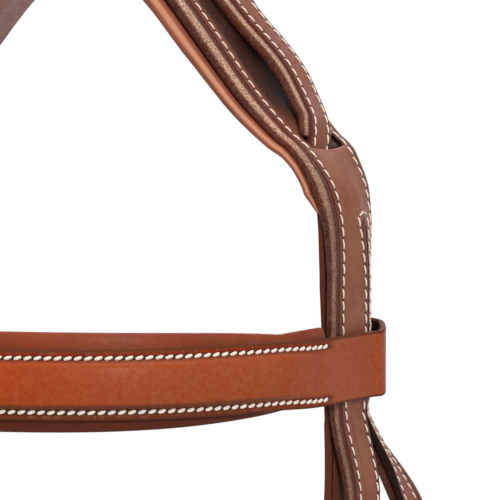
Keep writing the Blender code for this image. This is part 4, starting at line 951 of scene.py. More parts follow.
def make_poll_pad():
    """The soft pad on the poll, flat in the middle, that runs out in a point on each side.

    Its radius ends as a circle does, down to PAD_LEAST of its size.
    """
    end = PAD_STATIONS[-1] + PAD_PAST
    fine = end - PAD_FINE * np.linspace(1, 0, 12)**2
    arch = Arch(np.concatenate([np.arange(0, end - PAD_FINE, STATIONS[1]), fine]))
    top = THICK + GAP + LINING_THICK + 3 * GAP - PAD_PRESS
    full = (CROWN_STACK - top) / 2
    slim = np.interp(arch.t, SLIM_STATIONS, SLIM)
    top = top - 2 * (1 - slim) * ROLL_RADIUS
    radius = full * curve_at(np.array(PAD_RADII), np.interp(arch.t, PAD_STATIONS, np.arange(len(PAD_RADII))))
    radius = radius * (PAD_LEAST + (1 - PAD_LEAST) * np.sqrt(np.clip((end - arch.t) / PAD_ROUND, 0, 1)))
    keep = 1 - np.clip((arch.t - PAD_NARROWS) / PAD_NARROWING, 0, 1)[:, None]
    seam, seam_out = arch.track(arch.cheek)
    rear, rear_out = arch.track(arch.last)
    front, out = arch.edge, arch.out
    near = front - GAP * arch.across
    rings = layer_rings(front - 2 * GAP * arch.across, arch.across, out, near + keep * (seam - near),
                        unit(out + keep * (seam_out - out)), front + keep * (rear - front),
                        unit(out + keep * (rear_out - out)), top, 2 * radius, radius,
                        radius + slim * ROLL_RADIUS)
    rings = both(rings)
    return tube("poll_pad_padded", rings, ring_marks(rings, PAD_HIGHLIGHT))


def make_throat_linings(head):
    """The padded linings of the throat tails."""
    arch = head.arch
    line = throat_line()
    lean = (THICK + GAP + LINING_THICK) * math.sin(THROAT_TURN) + 2 * GAP
    distance = arch.cheek + SPLIT_GAP + (arch.throat + lean) / 2
    points, outward = arch.track(distance)
    path = lead_on(points[arch.ends()], line.place(np.array([THROAT_LEAD, LINING_END]), -BAR - GAP))
    across, _ = tail_axes(line, path, arch.rear_across[-1])
    first = arch.t > SPLIT_STATION + 1
    middle = np.concatenate([points[first], path])
    across = np.concatenate([arch.rear_across[first], across])
    across, outward = square_up(across, middle)
    outward = outward * np.sign(outward[0, 0])
    centre = middle - (THICK + GAP + LINING_THICK / 2) * outward
    return [padded_strip("throat_lining_padded_" + suffix, flip(centre, side), flip(across, side),
                         flip(outward, side), THROAT_WIDTH - lean, LINING_THICK) for side, suffix in SIDES]


# A padded strip closes over STRIP_ROUND of its length to STRIP_LEAST of its size
STRIP_ROUND, STRIP_LEAST = 0.003, 0.55


def padded_strip(name, path, across, outward, width, thick, power=3.2):
    """A padded strip whose section is a superellipse: |x|^p + |y|^p = 1 over half its width and thickness."""
    section = np.stack([np.sign(x) * np.abs(x)**(2 / power) for x in circle(28)], -1)
    size = np.stack([np.broadcast_to(x, len(path)) for x in (width, thick)], -1)
    run = lengths(path)
    close = rounded(np.minimum(run, run[-1] - run), STRIP_ROUND, STRIP_LEAST)
    rings = sweep(path, across, outward, (close[:, None] * size / 2)[:, None] * section)
    return tube(name, rings, ring_marks(rings))


def mean_of(values, reach):
    """Each value's mean with its neighbours up to reach places away."""
    count = 2 * reach + 1
    return np.convolve(np.pad(values, reach, mode="edge"), np.ones(count) / count, "valid")


def headstrap_course():
    """The headstrap from the middle of the crown down the left side."""
    arch = Arch()
    high = GAP + HEADSTRAP_BULGE + GAP + THICK / 2
    out = mean_of(np.interp(arch.t, RISE_STATIONS, np.array(RISE_SHARES) * high), 3)
    width = mean_of(np.interp(arch.t, HEADSTRAP_STATIONS, HEADSTRAP_PLACES) * CROWN_WIDTH, 8)
    return arch, arch.edge + width[:, None] * arch.across + out[:, None] * arch.out


def tilted_across(arch):
    """The headstrap's direction to the rear: it leans back on its roll, which lifts its front edge."""
    tilt = np.radians(np.interp(arch.t, TILT_STATIONS, TILTS))[:, None]
    return np.cos(tilt) * np.array([0, 1.0, 0]) - np.sin(tilt) * arch.out


# The free headstrap below the arch: its drop as a share of BROWBAND_DROP, and the start of its straight
# stretch above the buckle as one of CHEEK_LENGTH
HEADSTRAP_DROP, HEADSTRAP_LEAD = 0.20, 0.14
# The length of its left end that has the holes, how far its face rises, and its front and rear seams'
# distances in from the edges
HEADSTRAP_END, HEADSTRAP_DOME, HEADSTRAP_MARGINS = 0.25, 0.0004, (0.0018, 0.0030)


def make_headstrap():
    """The noseband's headstrap: over the crown, through the slots and down inside the headpiece."""
    arch, upper = headstrap_course()
    line = noseband_line()
    coarse = upper[arch.ends()]
    drop = upper[-1:] - (0, 0, HEADSTRAP_DROP * BROWBAND_DROP)
    lead = HEADSTRAP_LEAD * CHEEK_LENGTH
    straight = line.place(np.array([lead, BUCKLE_LENGTH + BAR]), -FOLD)
    left = np.concatenate([lead_on(coarse, drop, straight), line.place(*point_path().T)])
    ring = Line(line.origin - line.up * NOSE_STRAP_LENGTH, -line.up, (1, 0, 0), HEADSTRAP_WIDTH)
    low = ring.place(np.array([-lead - NOSE_STRAP_LENGTH, -FOLD_LENGTH]), FOLD)
    right = np.concatenate([lead_on(coarse, drop, low), ring.place(*fold_path()[::-1].T)])
    path = np.concatenate([flip(right[::-1], -1), both(upper), left])
    across = np.tile((0, 1.0, 0), (len(path), 1))
    across[len(right):-len(left)] = both(tilted_across(arch))
    run = lengths(path)
    along = (path - line.origin) @ line.up
    last = run > run[-1] - HEADSTRAP_END
    holes, slots = tail_openings(along[last][::-1], run[last][::-1])
    top = run[len(right) + len(upper) - 1]
    reach = lengths(upper)[arch.nearest(SLOT_STATIONS[1])]
    return strap("headstrap_strap", path, across, HEADSTRAP_WIDTH, (0, 0, 1), ends=(0, POINTED),
                 dome=HEADSTRAP_DOME, holes=holes, slots=slots, sewn=[(top - reach, top + reach)],
                 margin=HEADSTRAP_MARGINS)


# How far the loop's rear rises, how far its outer side bulges at shares of its length and at its front,
# the distances ahead of its front between which its inner end runs straight, and the share of the way
# in at which the end crosses the front
LOOP_RISE = 0.0026
LOOP_BULGES = ((0.95, 0.0008), (0.6, 0.0023), (0.25, 0.0026), (0.02, 0.0017))
LOOP_FRONT_BULGE, LOOP_AHEAD, LOOP_CROSSING = 0.0005, (0.010, 0.005), 0.6


def browband_course():
    """The middle of the browband's strap: the left loop's inner end, the loop and the front curve."""
    edge = ARCH[-1][2] * CROWN_WIDTH
    front = edge - GAP - 2 * ROLL_RADIUS - LOOP_ROOM - THICK / 2
    seam_y = edge + CHEEK_WIDTH + WIDE_REAR
    outer = HALF_WIDTH + LOOP_ROOM + THICK / 2
    inner = HALF_WIDTH - INNER - THICK - LOOP_ROOM
    back = np.array([-math.sin(THROAT_TURN), math.cos(THROAT_TURN)])
    length = SPLIT_GAP + THROAT_WIDTH + 2 * LOOP_ROOM + THICK
    rear = (np.array([outer, seam_y]) + np.array([inner, seam_y + LOOP_ROOM])) / 2 + (length + THICK) * back
    under = outer - THICK - GAP
    curve = smooth(np.array(BROW_SHAPE) * (outer, BROW_REACH), 12)
    crossing = under + LOOP_CROSSING * (inner - under)
    loop = [(under, front - LOOP_AHEAD[0]), (under, front - LOOP_AHEAD[1]), (crossing, front),
            (inner, front + LOOP_AHEAD[1]), (inner, seam_y - THICK)]
    loop += [np.array([inner, seam_y + LOOP_ROOM]) + share * length * back for share in (0.25, 0.8)]
    loop += [rear]
    loop += [np.array([outer + bulge, seam_y]) + share * length * back for share, bulge in LOOP_BULGES]
    loop += [(outer + LOOP_FRONT_BULGE, seam_y - 2 * THICK), (outer, front)]
    loop = smooth(np.array(loop), 6)
    path = np.concatenate([loop, curve])
    ahead, behind = np.clip(-path[:, 1] / BROW_REACH, 0, 1), np.clip((path[:, 1] - seam_y) / length, 0, 1)
    return np.column_stack([path, -BROWBAND_DROP - BROW_SAG * ahead + LOOP_RISE * behind]), len(loop)


def level_axes(path):
    """A strap on edge round the head: across is up, and outward is square to it, to the front midway."""
    across, outward = square_up(np.tile((0, 0, 1.0), (len(path), 1)), path)
    return across, -np.sign(outward[len(path) // 2, 1]) * outward


# The browband rises over BROW_RAMP of its length. Across it the raised part is level up to RAISE_FLAT of
# the half width, where it stands up to RAISE_DOME higher in the middle, and falls over RAISE_FALL.
BROW_RAMP, RAISE_FLAT, RAISE_FALL, RAISE_DOME = 0.022, 0.48, 0.22, 0.0005
BROW_SHARES = np.array([0.15, 0.30, 0.42, 0.48, 0.54, 0.60, 0.66, 0.72, 0.80, 0.86])
# Its seams' distances in from the edges, on the loop and on the raised part, and how far they go on past
# the start of the ramp
BROW_MARGINS, BROW_SEAM_PAST = (0.0021, 0.0024), 0.0045


def make_browband():
    """The browband: a strap on edge, looped at both ends, whose middle is raised by a cosine ramp."""
    left, loop = browband_course()
    path = reflect(left)
    reach = np.clip((lengths(left) - lengths(left)[loop]) / BROW_RAMP, 0, 1)
    reach = ease(np.concatenate([reach, reach[-2::-1]]))
    half = (LOOP_WIDTH + reach * (BROWBAND_WIDTH - LOOP_WIDTH)) / 2
    path, reach, half = fill_in(FINE_STEP, path, reach, half, ends=True)
    across, outward = level_axes(path)
    run = lengths(path) - lengths(path)[-1] / 2
    share = np.concatenate([-BROW_SHARES[::-1], [0], BROW_SHARES])
    places = half[:, None] * share[None]
    edges = half[:, None] - ROUND_STEPS[None]
    places = np.concatenate([-edges, places, edges[:, ::-1]], 1)
    edge = np.minimum(half[:, None] - np.abs(places), (lengths(path)[-1] / 2 - np.abs(run))[:, None])
    part = np.abs(places) / half[:, None]
    raised = np.clip(1 - (np.clip(part - RAISE_FLAT, 0, 1) / RAISE_FALL)**2, 0, 1)**0.8
    domed = np.clip(1 - (part / RAISE_FLAT)**2, 0, 1)
    lift = reach[:, None] * (BROW_RAISE * raised + RAISE_DOME * domed)
    edge = np.clip(edge, 0, 1)
    marks = np.stack([run[:, None] + 0 * places, places, edge], -1)
    shift = (LOOP_SHIFT + reach * (BROWBAND_SHIFT - LOOP_SHIFT))[:, None] * np.array([0, 0, 1.0])
    middle = (path + shift)[:, None] + places[..., None] * across[:, None]
    out = np.broadcast_to(outward[:, None], middle.shape)
    item = leather("browband_strap", middle, out, edge, marks, lift)
    place = half - np.interp(reach, (0, 1), BROW_MARGINS)
    inside = np.abs(run) < np.abs(run)[np.argmax(reach > 0.01)] + BROW_SEAM_PAST
    tracks = [((path + (sign * place)[:, None] * across + THICK / 2 * outward + shift)[inside],
               outward[inside]) for sign in (-1, 1)]
    return item, tracks, (path, run)


# The browband's lining goes on BROW_LINING_PAST beyond the front of the loop. It thins towards its ends
# over BROW_LINING_THINS down to BROW_LINING_END, and rises over BROW_RAMP by BROW_LINING_LIFT.
BROW_LINING_PAST, BROW_LINING_THINS, BROW_LINING_END, BROW_LINING_LIFT = 0.0065, 0.014, 0.0007, 0.0036


def make_browband_lining(path, run):
    """The browband's padded lining: wider than the strap, narrower towards its ends as a fourth power."""
    left, loop = browband_course()
    end = lengths(left)[-1] - lengths(left)[loop] + BROW_LINING_PAST
    even = np.linspace(-end, end, 141)
    path = read(path, run, even)
    across, outward = level_axes(path)
    away = np.abs(even)
    width = BROW_LINING_WIDTH - (BROW_LINING_WIDTH - LOOP_WIDTH - BROW_LINING_STEP) * (away / end)**4
    thick = np.interp(away, (end - BROW_LINING_THINS, end), (BROW_LINING_THICK, BROW_LINING_END))
    rise = BROW_LINING_RISE + np.interp(away, (end - BROW_RAMP, end), (0, BROW_LINING_LIFT))
    centre = path - (THICK / 2 + GAP + thick / 2)[:, None] * outward + rise[:, None] * np.array([0, 0, 1.0])
    return padded_strip("browband_lining_padded", centre, across, outward, width, thick)


# The station where the headstrap's lining ends, where it starts to thin and to what share, and how much
# wider than deep its roll is
HEADSTRAP_LINED, HEADSTRAP_THINS, HEADSTRAP_THIN, HEADSTRAP_ROLL_WIDE = 11.9, 10.5, 0.3, 1.15


def make_headstrap_lining():
    """The padded lining between the headstrap and the crown, with a roll along its front edge."""
    arch, upper = headstrap_course()
    keep = arch.t <= HEADSTRAP_LINED
    middle = upper[keep]
    across, outward = square_up(tilted_across(arch), upper)
    across, outward = across[keep], -outward[keep]
    outward *= np.sign(outward[:, 2:])
    half, top = HEADSTRAP_WIDTH / 2, THICK / 2 + GAP
    thick = np.interp(arch.t[keep], (HEADSTRAP_THINS, HEADSTRAP_LINED), (1, HEADSTRAP_THIN))
    thick = thick * HEADSTRAP_BULGE
    centre, high = -half - HEADSTRAP_ROLL + 2 * GAP, THICK / 2 - GAP
    places = [(centre + HEADSTRAP_ROLL_WIDE * HEADSTRAP_ROLL * cos,
               (thick + top + high) * (1 + sin) / 2 - top - thick) for cos, sin in arc(-90, -360, 18)]
    places += [(-half + GAP, 0 * thick - top), (half - GAP, 0 * thick - top), (half - GAP, -top - thick)]
    profile = np.stack([np.stack([np.full(len(middle), v), n], -1) for v, n in places], 1)
    rings = both(sweep(middle, across, outward, profile))
    return tube("headstrap_lining_padded", rings, ring_marks(rings, HEADSTRAP_HIGHLIGHT))


def on_line(line, along_out):
    """Points of along and out places on a line."""
    return line.place(*np.asarray(along_out, float).T)


def line_strap(name, line, along_out, **more):
    """A strap of a line's width whose middle follows (along, out) places, finished on its outer side."""
    path = on_line(line, along_out)
    across = np.tile(line.across, (len(path), 1))
    return strap(name, path, across, line.width, line.out, **more)


def wire(name, path, across, radius, sides=14, closed=False):
    """A round wire along a path: at angle a its surface is radius times (cos a across, sin a outwards)."""
    along = unit(np.roll(path, -1, 0) - np.roll(path, 1, 0)) if closed else tangents(path)
    across = unit(across - (across * along).sum(1, keepdims=True) * along)
    section = np.broadcast_to(radius, len(path))[:, None, None] * np.stack(circle(sides), -1)
    return tube(name, sweep(path, across, np.cross(across, along), section), along=closed)


def rounded_rectangle(low_x, high_x, low_y, high_y, corner, steps=8):
    """Places round a rectangle whose corners are quarter circles."""
    places = []
    for x, y, start in ((high_x - corner, high_y - corner, 0), (low_x + corner, high_y - corner, 90),
                        (low_x + corner, low_y + corner, 180), (high_x - corner, low_y + corner, 270)):
        places.append((x, y) + corner * arc(start, start + 90, steps))
    return np.concatenate(places)


def buckle_lines():
    """The line of each buckled strap, by the name that its pieces start with."""
    return {"cheek_left": cheek_line(), "cheek_right": cheek_line(-1), "throat_left": throat_line(),
            "throat_right": throat_line(-1), "noseband": noseband_line(), "jaw": jaw_line()}


# How thick a tongue is at its first rows, as shares of its wire
TONGUE_TIP = (0.45, 0.8, 0.95)


def make_buckle(prefix, line):
    """A rectangular wire frame with rounded corners and a wire tongue curled round its near bar."""
    half = line.width / 2 + SIDE_ROOM + BAR
    places = rounded_rectangle(0, BUCKLE_LENGTH, -half, half, 2 * BAR)
    path = line.place(places[:, 0], 0.0, places[:, 1])
    buckle = wire(prefix + "_frame", path, line.out, BAR, closed=True)
    reach = BAR + GAP + TONGUE
    lead = np.stack([np.linspace(BUCKLE_LENGTH + BAR, 0.4 * reach, 16), np.full(16, reach)], -1)
    places = np.concatenate([lead, reach * arc(90, 330, 24)])
    path = line.place(places[:, 0], places[:, 1])
    radius = np.full(len(path), TONGUE)
    radius[:len(TONGUE_TIP)] = TONGUE * np.array(TONGUE_TIP)
    tongue = wire(prefix + "_tongue", path, line.across, radius, sides=10)
    return buckle, tongue


# A keeper's section as shares of half its width and thickness: flat inside and rounded outside
BAND_SECTION = np.array([(-1, -0.7), (-0.8, -1), (0.8, -1), (1, -0.7), (1, 0.5), (0.92, 0.85), (0.7, 1),
                         (0, 1.12), (-0.7, 1), (-0.92, 0.85), (-1, 0.5)])


def make_band(name, line, place, low, high, half):
    """A leather loop round a strap stack: a rounded rectangle in the across and outward plane."""
    grow = KEEPER_THICK / 2 + GAP
    places = rounded_rectangle(low - grow, high + grow, -half - grow, half + grow, KEEPER_THICK)
    path = line.place(np.full(len(places), place), places[:, 0], places[:, 1])
    along = unit(np.roll(path, -1, 0) - np.roll(path, 1, 0))
    out = unit(np.cross(np.tile(line.up, (len(path), 1)), along))
    out *= np.sign((out * (path - path.mean(0))).sum(1, keepdims=True))
    width, deep = KEEPER_WIDTH / 2, KEEPER_THICK / 2
    rings = sweep(path, line.up, out, BAND_SECTION * (width, deep))
    across, high = BAND_SECTION.T * ((width,), (1,))
    edge = np.where(high > 0.8, width - np.abs(across), -0.001)
    marks = np.stack(np.broadcast_arrays(lengths(path)[:, None], across, edge), -1)
    return tube(name, rings, marks, along=True)


def billet_path():
    """The cheekpiece's lower end: down, under the bit on a round bend, and up again inside to its tip."""
    inner = FOLD - THICK - BILLET_OPENING
    bottom = -CHEEKPIECE_LENGTH
    bend = 1.5 * THICK
    first = (bottom + bend, FOLD - bend) + bend * arc(90, 180, 8)
    second = (bottom + bend, inner + bend) + bend * arc(180, 270, 8)
    rise = np.linspace(0, 1, 10)
    climb = np.stack([bottom + BILLET_DEPTH + rise * BILLET_OPENING,
                      inner + (UNDER - inner) * ease(rise)], 1)
    return np.concatenate([[(bottom + 2.2 * bend, FOLD)], first, second, climb,
                           [(bottom + BILLET_OVERLAP, UNDER)]])


# Seams start SEAM_OFF from a fold's bar; the billet's is BILLET_SEAM long
SEAM_OFF, BILLET_SEAM, BILLET_TIP = 0.002, 0.016, 0.010
# The stud's neck next to its heads, as shares of STUD_HEAD
STUD_BACK, STUD_FRONT = 0.6, 0.65


def make_cheekpiece(side, suffix):
    """The cheekpiece with its buckle fold above and its billet, keeper and stud below."""
    line = cheek_line(side)
    places = np.concatenate([fold_path(), [(-FOLD_LENGTH, FOLD)], billet_path()])
    run = lengths(places)
    fold = run[len(fold_path()) - 1]
    seam_end = fold + CHEEKPIECE_LENGTH - BILLET_OVERLAP
    piece = line_strap("cheekpiece_strap_" + suffix, line, places, ends=(0, BILLET_TIP),
                       sewn=[(fold + SEAM_OFF, fold + FOLD_LENGTH), (seam_end - BILLET_SEAM, seam_end)])
    stud = -CHEEKPIECE_LENGTH + BILLET_DEPTH + BILLET_OPENING + STUD_HEAD + 2 * GAP
    low, high = UNDER - THICK / 2 - GAP, FOLD + THICK / 2 + GAP
    turn = np.linspace(0, math.pi / 2, 8)
    outs = np.concatenate([low - STUD_THICK * (1 + np.cos(turn)), [low, low, high, high],
                           high + STUD_THICK / 2 * np.sin(turn)])
    radii = np.concatenate([STUD_HEAD * np.sin(turn) + 1e-5,
                            [STUD_HEAD * STUD_BACK, BAR, BAR, STUD_HEAD * STUD_FRONT],
                            STUD_HEAD * STUD_FRONT * np.cos(turn) + 1e-5])
    section = radii[:, None, None] * np.stack(circle(20), -1)
    head = tube("billet_stud_round_" + suffix, sweep(line.place(stud, outs), line.up, line.across, section))
    keeper = make_band("billet_keeper_loop_" + suffix, line, stud + STUD_HEAD + KEEPER_WIDTH / 2 + GAP,
                       UNDER - THICK / 2, FOLD + THICK / 2, line.width / 2)
    return piece, head, keeper


# Where the throatlatch starts to turn level, from its buckle's bar, and over what length
LEVEL_START, LEVEL_LENGTH = 0.035, 0.05


def make_throatlatch():
    """The strap under the throat, folded round a buckle's bar at each end."""
    line = throat_line()
    places = (-FOLD_LENGTH, (-POINT_LENGTH - FOLD_LENGTH) / 2, -POINT_LENGTH - OVERRUN,
              -POINT_LENGTH - 2 * OVERRUN)
    down = line.place(np.array(places), FOLD)
    under = np.array(THROAT_SHAPE) * (HALF_WIDTH, THROAT_REACH, THROAT_DROP)
    free = smooth(np.concatenate([down, under]), 8)
    fold = on_line(line, fold_path())
    left = np.concatenate([fold, free])
    path, first = reflect(left), lengths(fold)[-1]
    share = np.clip((lengths(left) - first - LEVEL_START) / LEVEL_LENGTH, 0, 1)[:, None]
    across = reflect((1 - share) * line.across + share * np.array([0, line.across[1], 0]))
    last = lengths(path)[-1] - first
    return strap("throatlatch_strap", path, across, THROAT_STRAP, (0, 0, -1),
                 sewn=[(first + SEAM_OFF, first + FOLD_LENGTH), (last - FOLD_LENGTH, last - SEAM_OFF)])


def make_noseband_strap():
    """The short strap between the left ring and the noseband's buckle, folded at both ends."""
    line = noseband_line()
    lower = fold_path()[::-1] * (-1, 1) - (NOSE_STRAP_LENGTH, 0)
    return line_strap("noseband_side_strap", line, np.concatenate([fold_path(), lower]))[0]


def make_ring(side, suffix):
    """A square ring with rounded corners that joins the noseband's straps."""
    places = rounded_rectangle(-RING_HALF, RING_HALF, -RING_HALF, RING_HALF, RING_HALF / 4)
    path = np.stack([np.full(len(places), NOSE_HALF), RING_PLACE + places[:, 0],
                     places[:, 1] - NOSEBAND_DROP], 1)
    return wire("noseband_ring_round_" + suffix, flip(path, side), np.array([1.0, 0, 0]), BAR, closed=True)


# The nose strap narrows between two shares of NOSE_REACH; its seams start NOSE_SEAM from its ends
NOSE_TAPER, NOSE_SEAM, NOSE_DOME, NOSE_MARGIN = (0.80, 0.34), 0.045, 0.0006, 0.0030
# How much narrower its lining is at its ends, as a share
NOSE_LINING_TAPER = 0.38


def make_nose_strap():
    """The nosepiece: folded at both rings, wider and raised in front, over its padded lining."""
    fold = on_line(ring_line(-1), fold_path())
    size = np.array([NOSE_HALF + FOLD, NOSE_REACH, NOSEBAND_DROP])
    free = smooth(np.array(NOSE_SHAPE) * size, 10)
    path = both(np.concatenate([fold, free])[::-1])
    width = np.interp(path[:, 1], -NOSE_REACH * np.array(NOSE_TAPER), (NOSE_WIDTH, NOSE_END_WIDTH))
    path, width = fill_in(FINE_STEP, path, width)
    across, _ = level_axes(path)
    item, tracks = strap("nose_strap_front", path, across, width, (0, -1, 0), dome=NOSE_DOME,
                         sewn=[(NOSE_SEAM, lengths(path)[-1] - NOSE_SEAM)], margin=NOSE_MARGIN)
    front = both(smooth(np.array(NOSE_SHAPE[1:]) * size, 10)[::-1])
    across, outward = level_axes(front)
    cube = np.abs(np.linspace(-1, 1, len(front)))**3
    wide = NOSE_LINING_WIDTH * (1 - NOSE_LINING_TAPER * cube)
    centre = front - (THICK / 2 + GAP + NOSE_LINING_THICK / 2) * outward
    lining = padded_strip("nose_lining_padded", centre, across, outward, wide, NOSE_LINING_THICK)
    return item, tracks, lining


# The jaw pad's half length as a share of NOSE_HALF, and its rows
JAW_PAD_REACH, JAW_PAD_ROWS = 0.55, 41


def make_jaw_straps():
    """The left jaw strap with the buckle, the right one with the holes, and the pad under them."""
    line, bar = jaw_line(), ring_line(1)
    fold = on_line(bar, fold_path())
    out, level = NOSE_HALF + FOLD, -NOSEBAND_DROP
    corner = np.array(JAW_SHAPE) * JAW_CORNER
    made = []
    for side, suffix in SIDES:
        back = line.origin[1] + side * FOLD
        turn = [(out - x, back - y, level) for x, y in corner]
        lead = [(out, fold[-1][1] + FOLD_LENGTH, level)]
        curve = smooth(np.array(lead + turn), 10)
        if side > 0:
            end = on_line(line, np.concatenate([[(-FOLD_LENGTH, FOLD)], fold_path()[::-1]]))
        else:
            through = np.concatenate([[(BUCKLE_LENGTH + BAR, -FOLD)], point_path()])
            end = flip(on_line(line, through), -1)
        path = flip(np.concatenate([fold, curve, end]), side)
        across, _ = level_axes(path)
        made.append(strap("jaw_strap_leather_" + suffix, path, across, JAW_WIDTH, (side, 0, 0), at=0.4,
                          ends=(0, POINTED if side < 0 else 0))[0])
    under = line.origin[1] - FOLD - THICK / 2 - GAP - JAW_PAD_THICK / 2
    pad = np.full((JAW_PAD_ROWS, 3), (0, under, level))
    pad[:, 0] = np.linspace(-1, 1, JAW_PAD_ROWS) * JAW_PAD_REACH * NOSE_HALF
    made.append(padded_strip("jaw_pad_soft", pad, np.array([0, 0, 1.0]), np.array([0, 1.0, 0]),
                             JAW_PAD_WIDTH, JAW_PAD_THICK, power=2.6))
    return made
# Finishes

def colour(red, green, blue):
    """A shader's red, green and blue from screen values of 0 to 255, by the sRGB curve."""
    parts = np.array((red, green, blue)) / 255.0
    return tuple(np.where(parts <= 0.04045, parts / 12.92, ((parts + 0.055) / 1.055)**2.4).tolist())


def tone(name, share=1.0):
    """A colour of the settings, darkened to a share of itself."""
    return tuple(share * x for x in getattr(bpy.context.scene.bridle_colours, name))


class Graph:
    """Shader nodes by short calls, each of which takes sockets or plain values and gives a socket."""

    def __init__(self, tree):
        self.tree = tree

    def add(self, kind, **settings):
        node = self.tree.nodes.new(kind)
        for key, value in settings.items():
            setattr(node, key, value)
        return node

    def put(self, node, socket, value):
        if isinstance(value, bpy.types.NodeSocket):
            self.tree.links.new(value, node.inputs[socket])
        elif isinstance(value, tuple) and node.inputs[socket].type == "RGBA":
            node.inputs[socket].default_value = (*value, 1.0)
        else:
            node.inputs[socket].default_value = value

    def fill(self, kind, inputs, output=0, **settings):
        """One output of a new node whose inputs are filled from pairs of a socket and its value."""
        node = self.add(kind, **settings)
        for socket, value in inputs:
            self.put(node, socket, value)
        return node.outputs[output]

    def math(self, operation, *values):
        return self.fill("ShaderNodeMath", enumerate(values), operation=operation)

    def plus(self, first, second):
        return self.math("ADD", first, second)

    def times(self, first, second):
        return self.math("MULTIPLY", first, second)

    def size(self, value):
        return self.math("ABSOLUTE", value)

    def vector(self, operation, *values):
        output = "Value" if operation == "LENGTH" else "Vector"
        return self.fill("ShaderNodeVectorMath", enumerate(values), output, operation=operation)

    def parts(self, vector):
        node = self.add("ShaderNodeSeparateXYZ")
        self.put(node, 0, vector)
        return node.outputs

    def noise(self, vector, scale, detail=3.0, rough=0.55, bend=0.0):
        inputs = {"Vector": vector, "Scale": scale, "Detail": detail, "Roughness": rough, "Distortion": bend}
        return self.fill("ShaderNodeTexNoise", inputs.items(), "Fac")

    def ramp(self, value, low, high, start=0.0, end=1.0):
        """From start at low to end at high, by the smooth step 3t^2 - 2t^3."""
        return self.fill("ShaderNodeMapRange", enumerate((value, low, high, start, end)),
                         interpolation_type="SMOOTHSTEP")

    def mix(self, share, first, second):
        return self.fill("ShaderNodeMix", ((0, share), (6, first), (7, second)), 2, data_type="RGBA")

    def blend(self, share, first, second):
        return self.fill("ShaderNodeMix", ((0, share), (2, first), (3, second)), data_type="FLOAT")

    def group(self, tree, **values):
        node = self.add("ShaderNodeGroup", node_tree=tree)
        for key, value in values.items():
            self.put(node, key.replace("_", " "), value)
        return node.outputs


def effect(name, inputs, outputs):
    """A shader node group, made with its inputs and outputs the first time that it is asked for.

    With it come its graph, its input sockets and its output node, or None three times if it was there. An
    input whose value is None is a vector, and the others are numbers.
    """
    if name in bpy.data.node_groups:
        return bpy.data.node_groups[name], None, None, None
    tree = bpy.data.node_groups.new(name, "ShaderNodeTree")
    for label, value in inputs.items():
        kind = "NodeSocketVector" if value is None else "NodeSocketFloat"
        socket = tree.interface.new_socket(label, in_out="INPUT", socket_type=kind)
        if value is not None:
            socket.default_value = value
    for label in outputs:
        tree.interface.new_socket(label, in_out="OUTPUT", socket_type="NodeSocketFloat")
    graph = Graph(tree)
    return tree, graph, graph.add("NodeGroupInput").outputs, graph.add("NodeGroupOutput")


def grain_effect():
    """Leather grain: small pores between rounded cells for the height, and slow drifts for the colour."""
    tree, graph, given, result = effect("Leather grain",
                                        {"Vector": None, "Scale": 1300.0, "Drift Scale": 60.0},
                                        ("Height", "Drift", "Speckle"))
    if graph:
        where, scale = given["Vector"], given["Scale"]
        pores = graph.fill("ShaderNodeTexVoronoi", (("Vector", where), ("Scale", scale)), "Distance")
        fine = graph.noise(where, graph.times(scale, 0.55), 4.0, 0.6)
        graph.put(result, "Height", graph.plus(graph.times(pores, 0.55), fine))
        slow = graph.noise(where, given["Drift Scale"], 3.0, 0.6)
        graph.put(result, "Drift", graph.ramp(slow, 0.32, 0.68))
        coarse = graph.noise(where, graph.times(scale, 0.45), 2.0, 0.7)
        graph.put(result, "Speckle", graph.ramp(coarse, 0.35, 0.68))
    return tree


def crease_effect():
    """Creases across a padded roll: noise that is squeezed along the roll, so its ridges run round it."""
    tree, graph, given, result = effect("Roll creases", {"Run": None, "Vector": None, "Pitch": 0.0011},
                                        ("Height", "Crest"))
    if graph:
        along, round_, _ = graph.parts(given["Run"])
        squeezed = ((0, graph.math("DIVIDE", along, given["Pitch"])), (1, graph.times(round_, 16.0)))
        ridges = graph.noise(graph.fill("ShaderNodeCombineXYZ", squeezed), 0.55, 3.0, 0.62, 0.7)
        fine = graph.noise(given["Vector"], graph.math("DIVIDE", 0.8, given["Pitch"]), 3.0, 0.6)
        height = graph.plus(graph.times(ridges, 0.75), graph.times(fine, 0.5))
        graph.put(result, "Height", height)
        graph.put(result, "Crest", graph.ramp(height, 0.50, 0.78))
    return tree


def edge_effect():
    """Masks from the distance in from a strap's edge: its painted edge, its raw back and its worn rim."""
    tree, graph, given, result = effect(
        "Strap edge", {"Run": None, "Vector": None, "Paint Width": 0.0006, "Seam Margin": STITCH_MARGIN,
                       "Seam Width": 0.0006}, ("Paint", "Back", "Seam", "Worn", "Margin"))
    if graph:
        inward, margin = graph.parts(given["Run"])[2], given["Seam Margin"]
        other = graph.math("SUBTRACT", -BACK_SHIFT, inward)
        nearest = graph.math("MAXIMUM", inward, other)
        uneven = graph.noise(given["Vector"], 700.0, 2.0)
        reach = graph.times(given["Paint Width"], graph.plus(uneven, 0.5))
        worn = graph.ramp(nearest, 0.0006, 0.0016, 1.0, 0.0)
        away = graph.size(graph.math("SUBTRACT", inward, margin))
        for label, value in (
                ("Paint", graph.ramp(nearest, graph.times(reach, 0.4), graph.times(reach, 1.3), 1.0, 0.0)),
                ("Back", graph.ramp(other, 0.0, 0.0002)),
                ("Seam", graph.ramp(away, 0.0, given["Seam Width"], 1.0, 0.0)),
                ("Worn", graph.times(worn, graph.ramp(uneven, 0.50, 0.70))),
                ("Margin", graph.ramp(inward, margin, graph.plus(margin, 0.0005), 1.0, 0.0))):
            graph.put(result, label, value)
    return tree


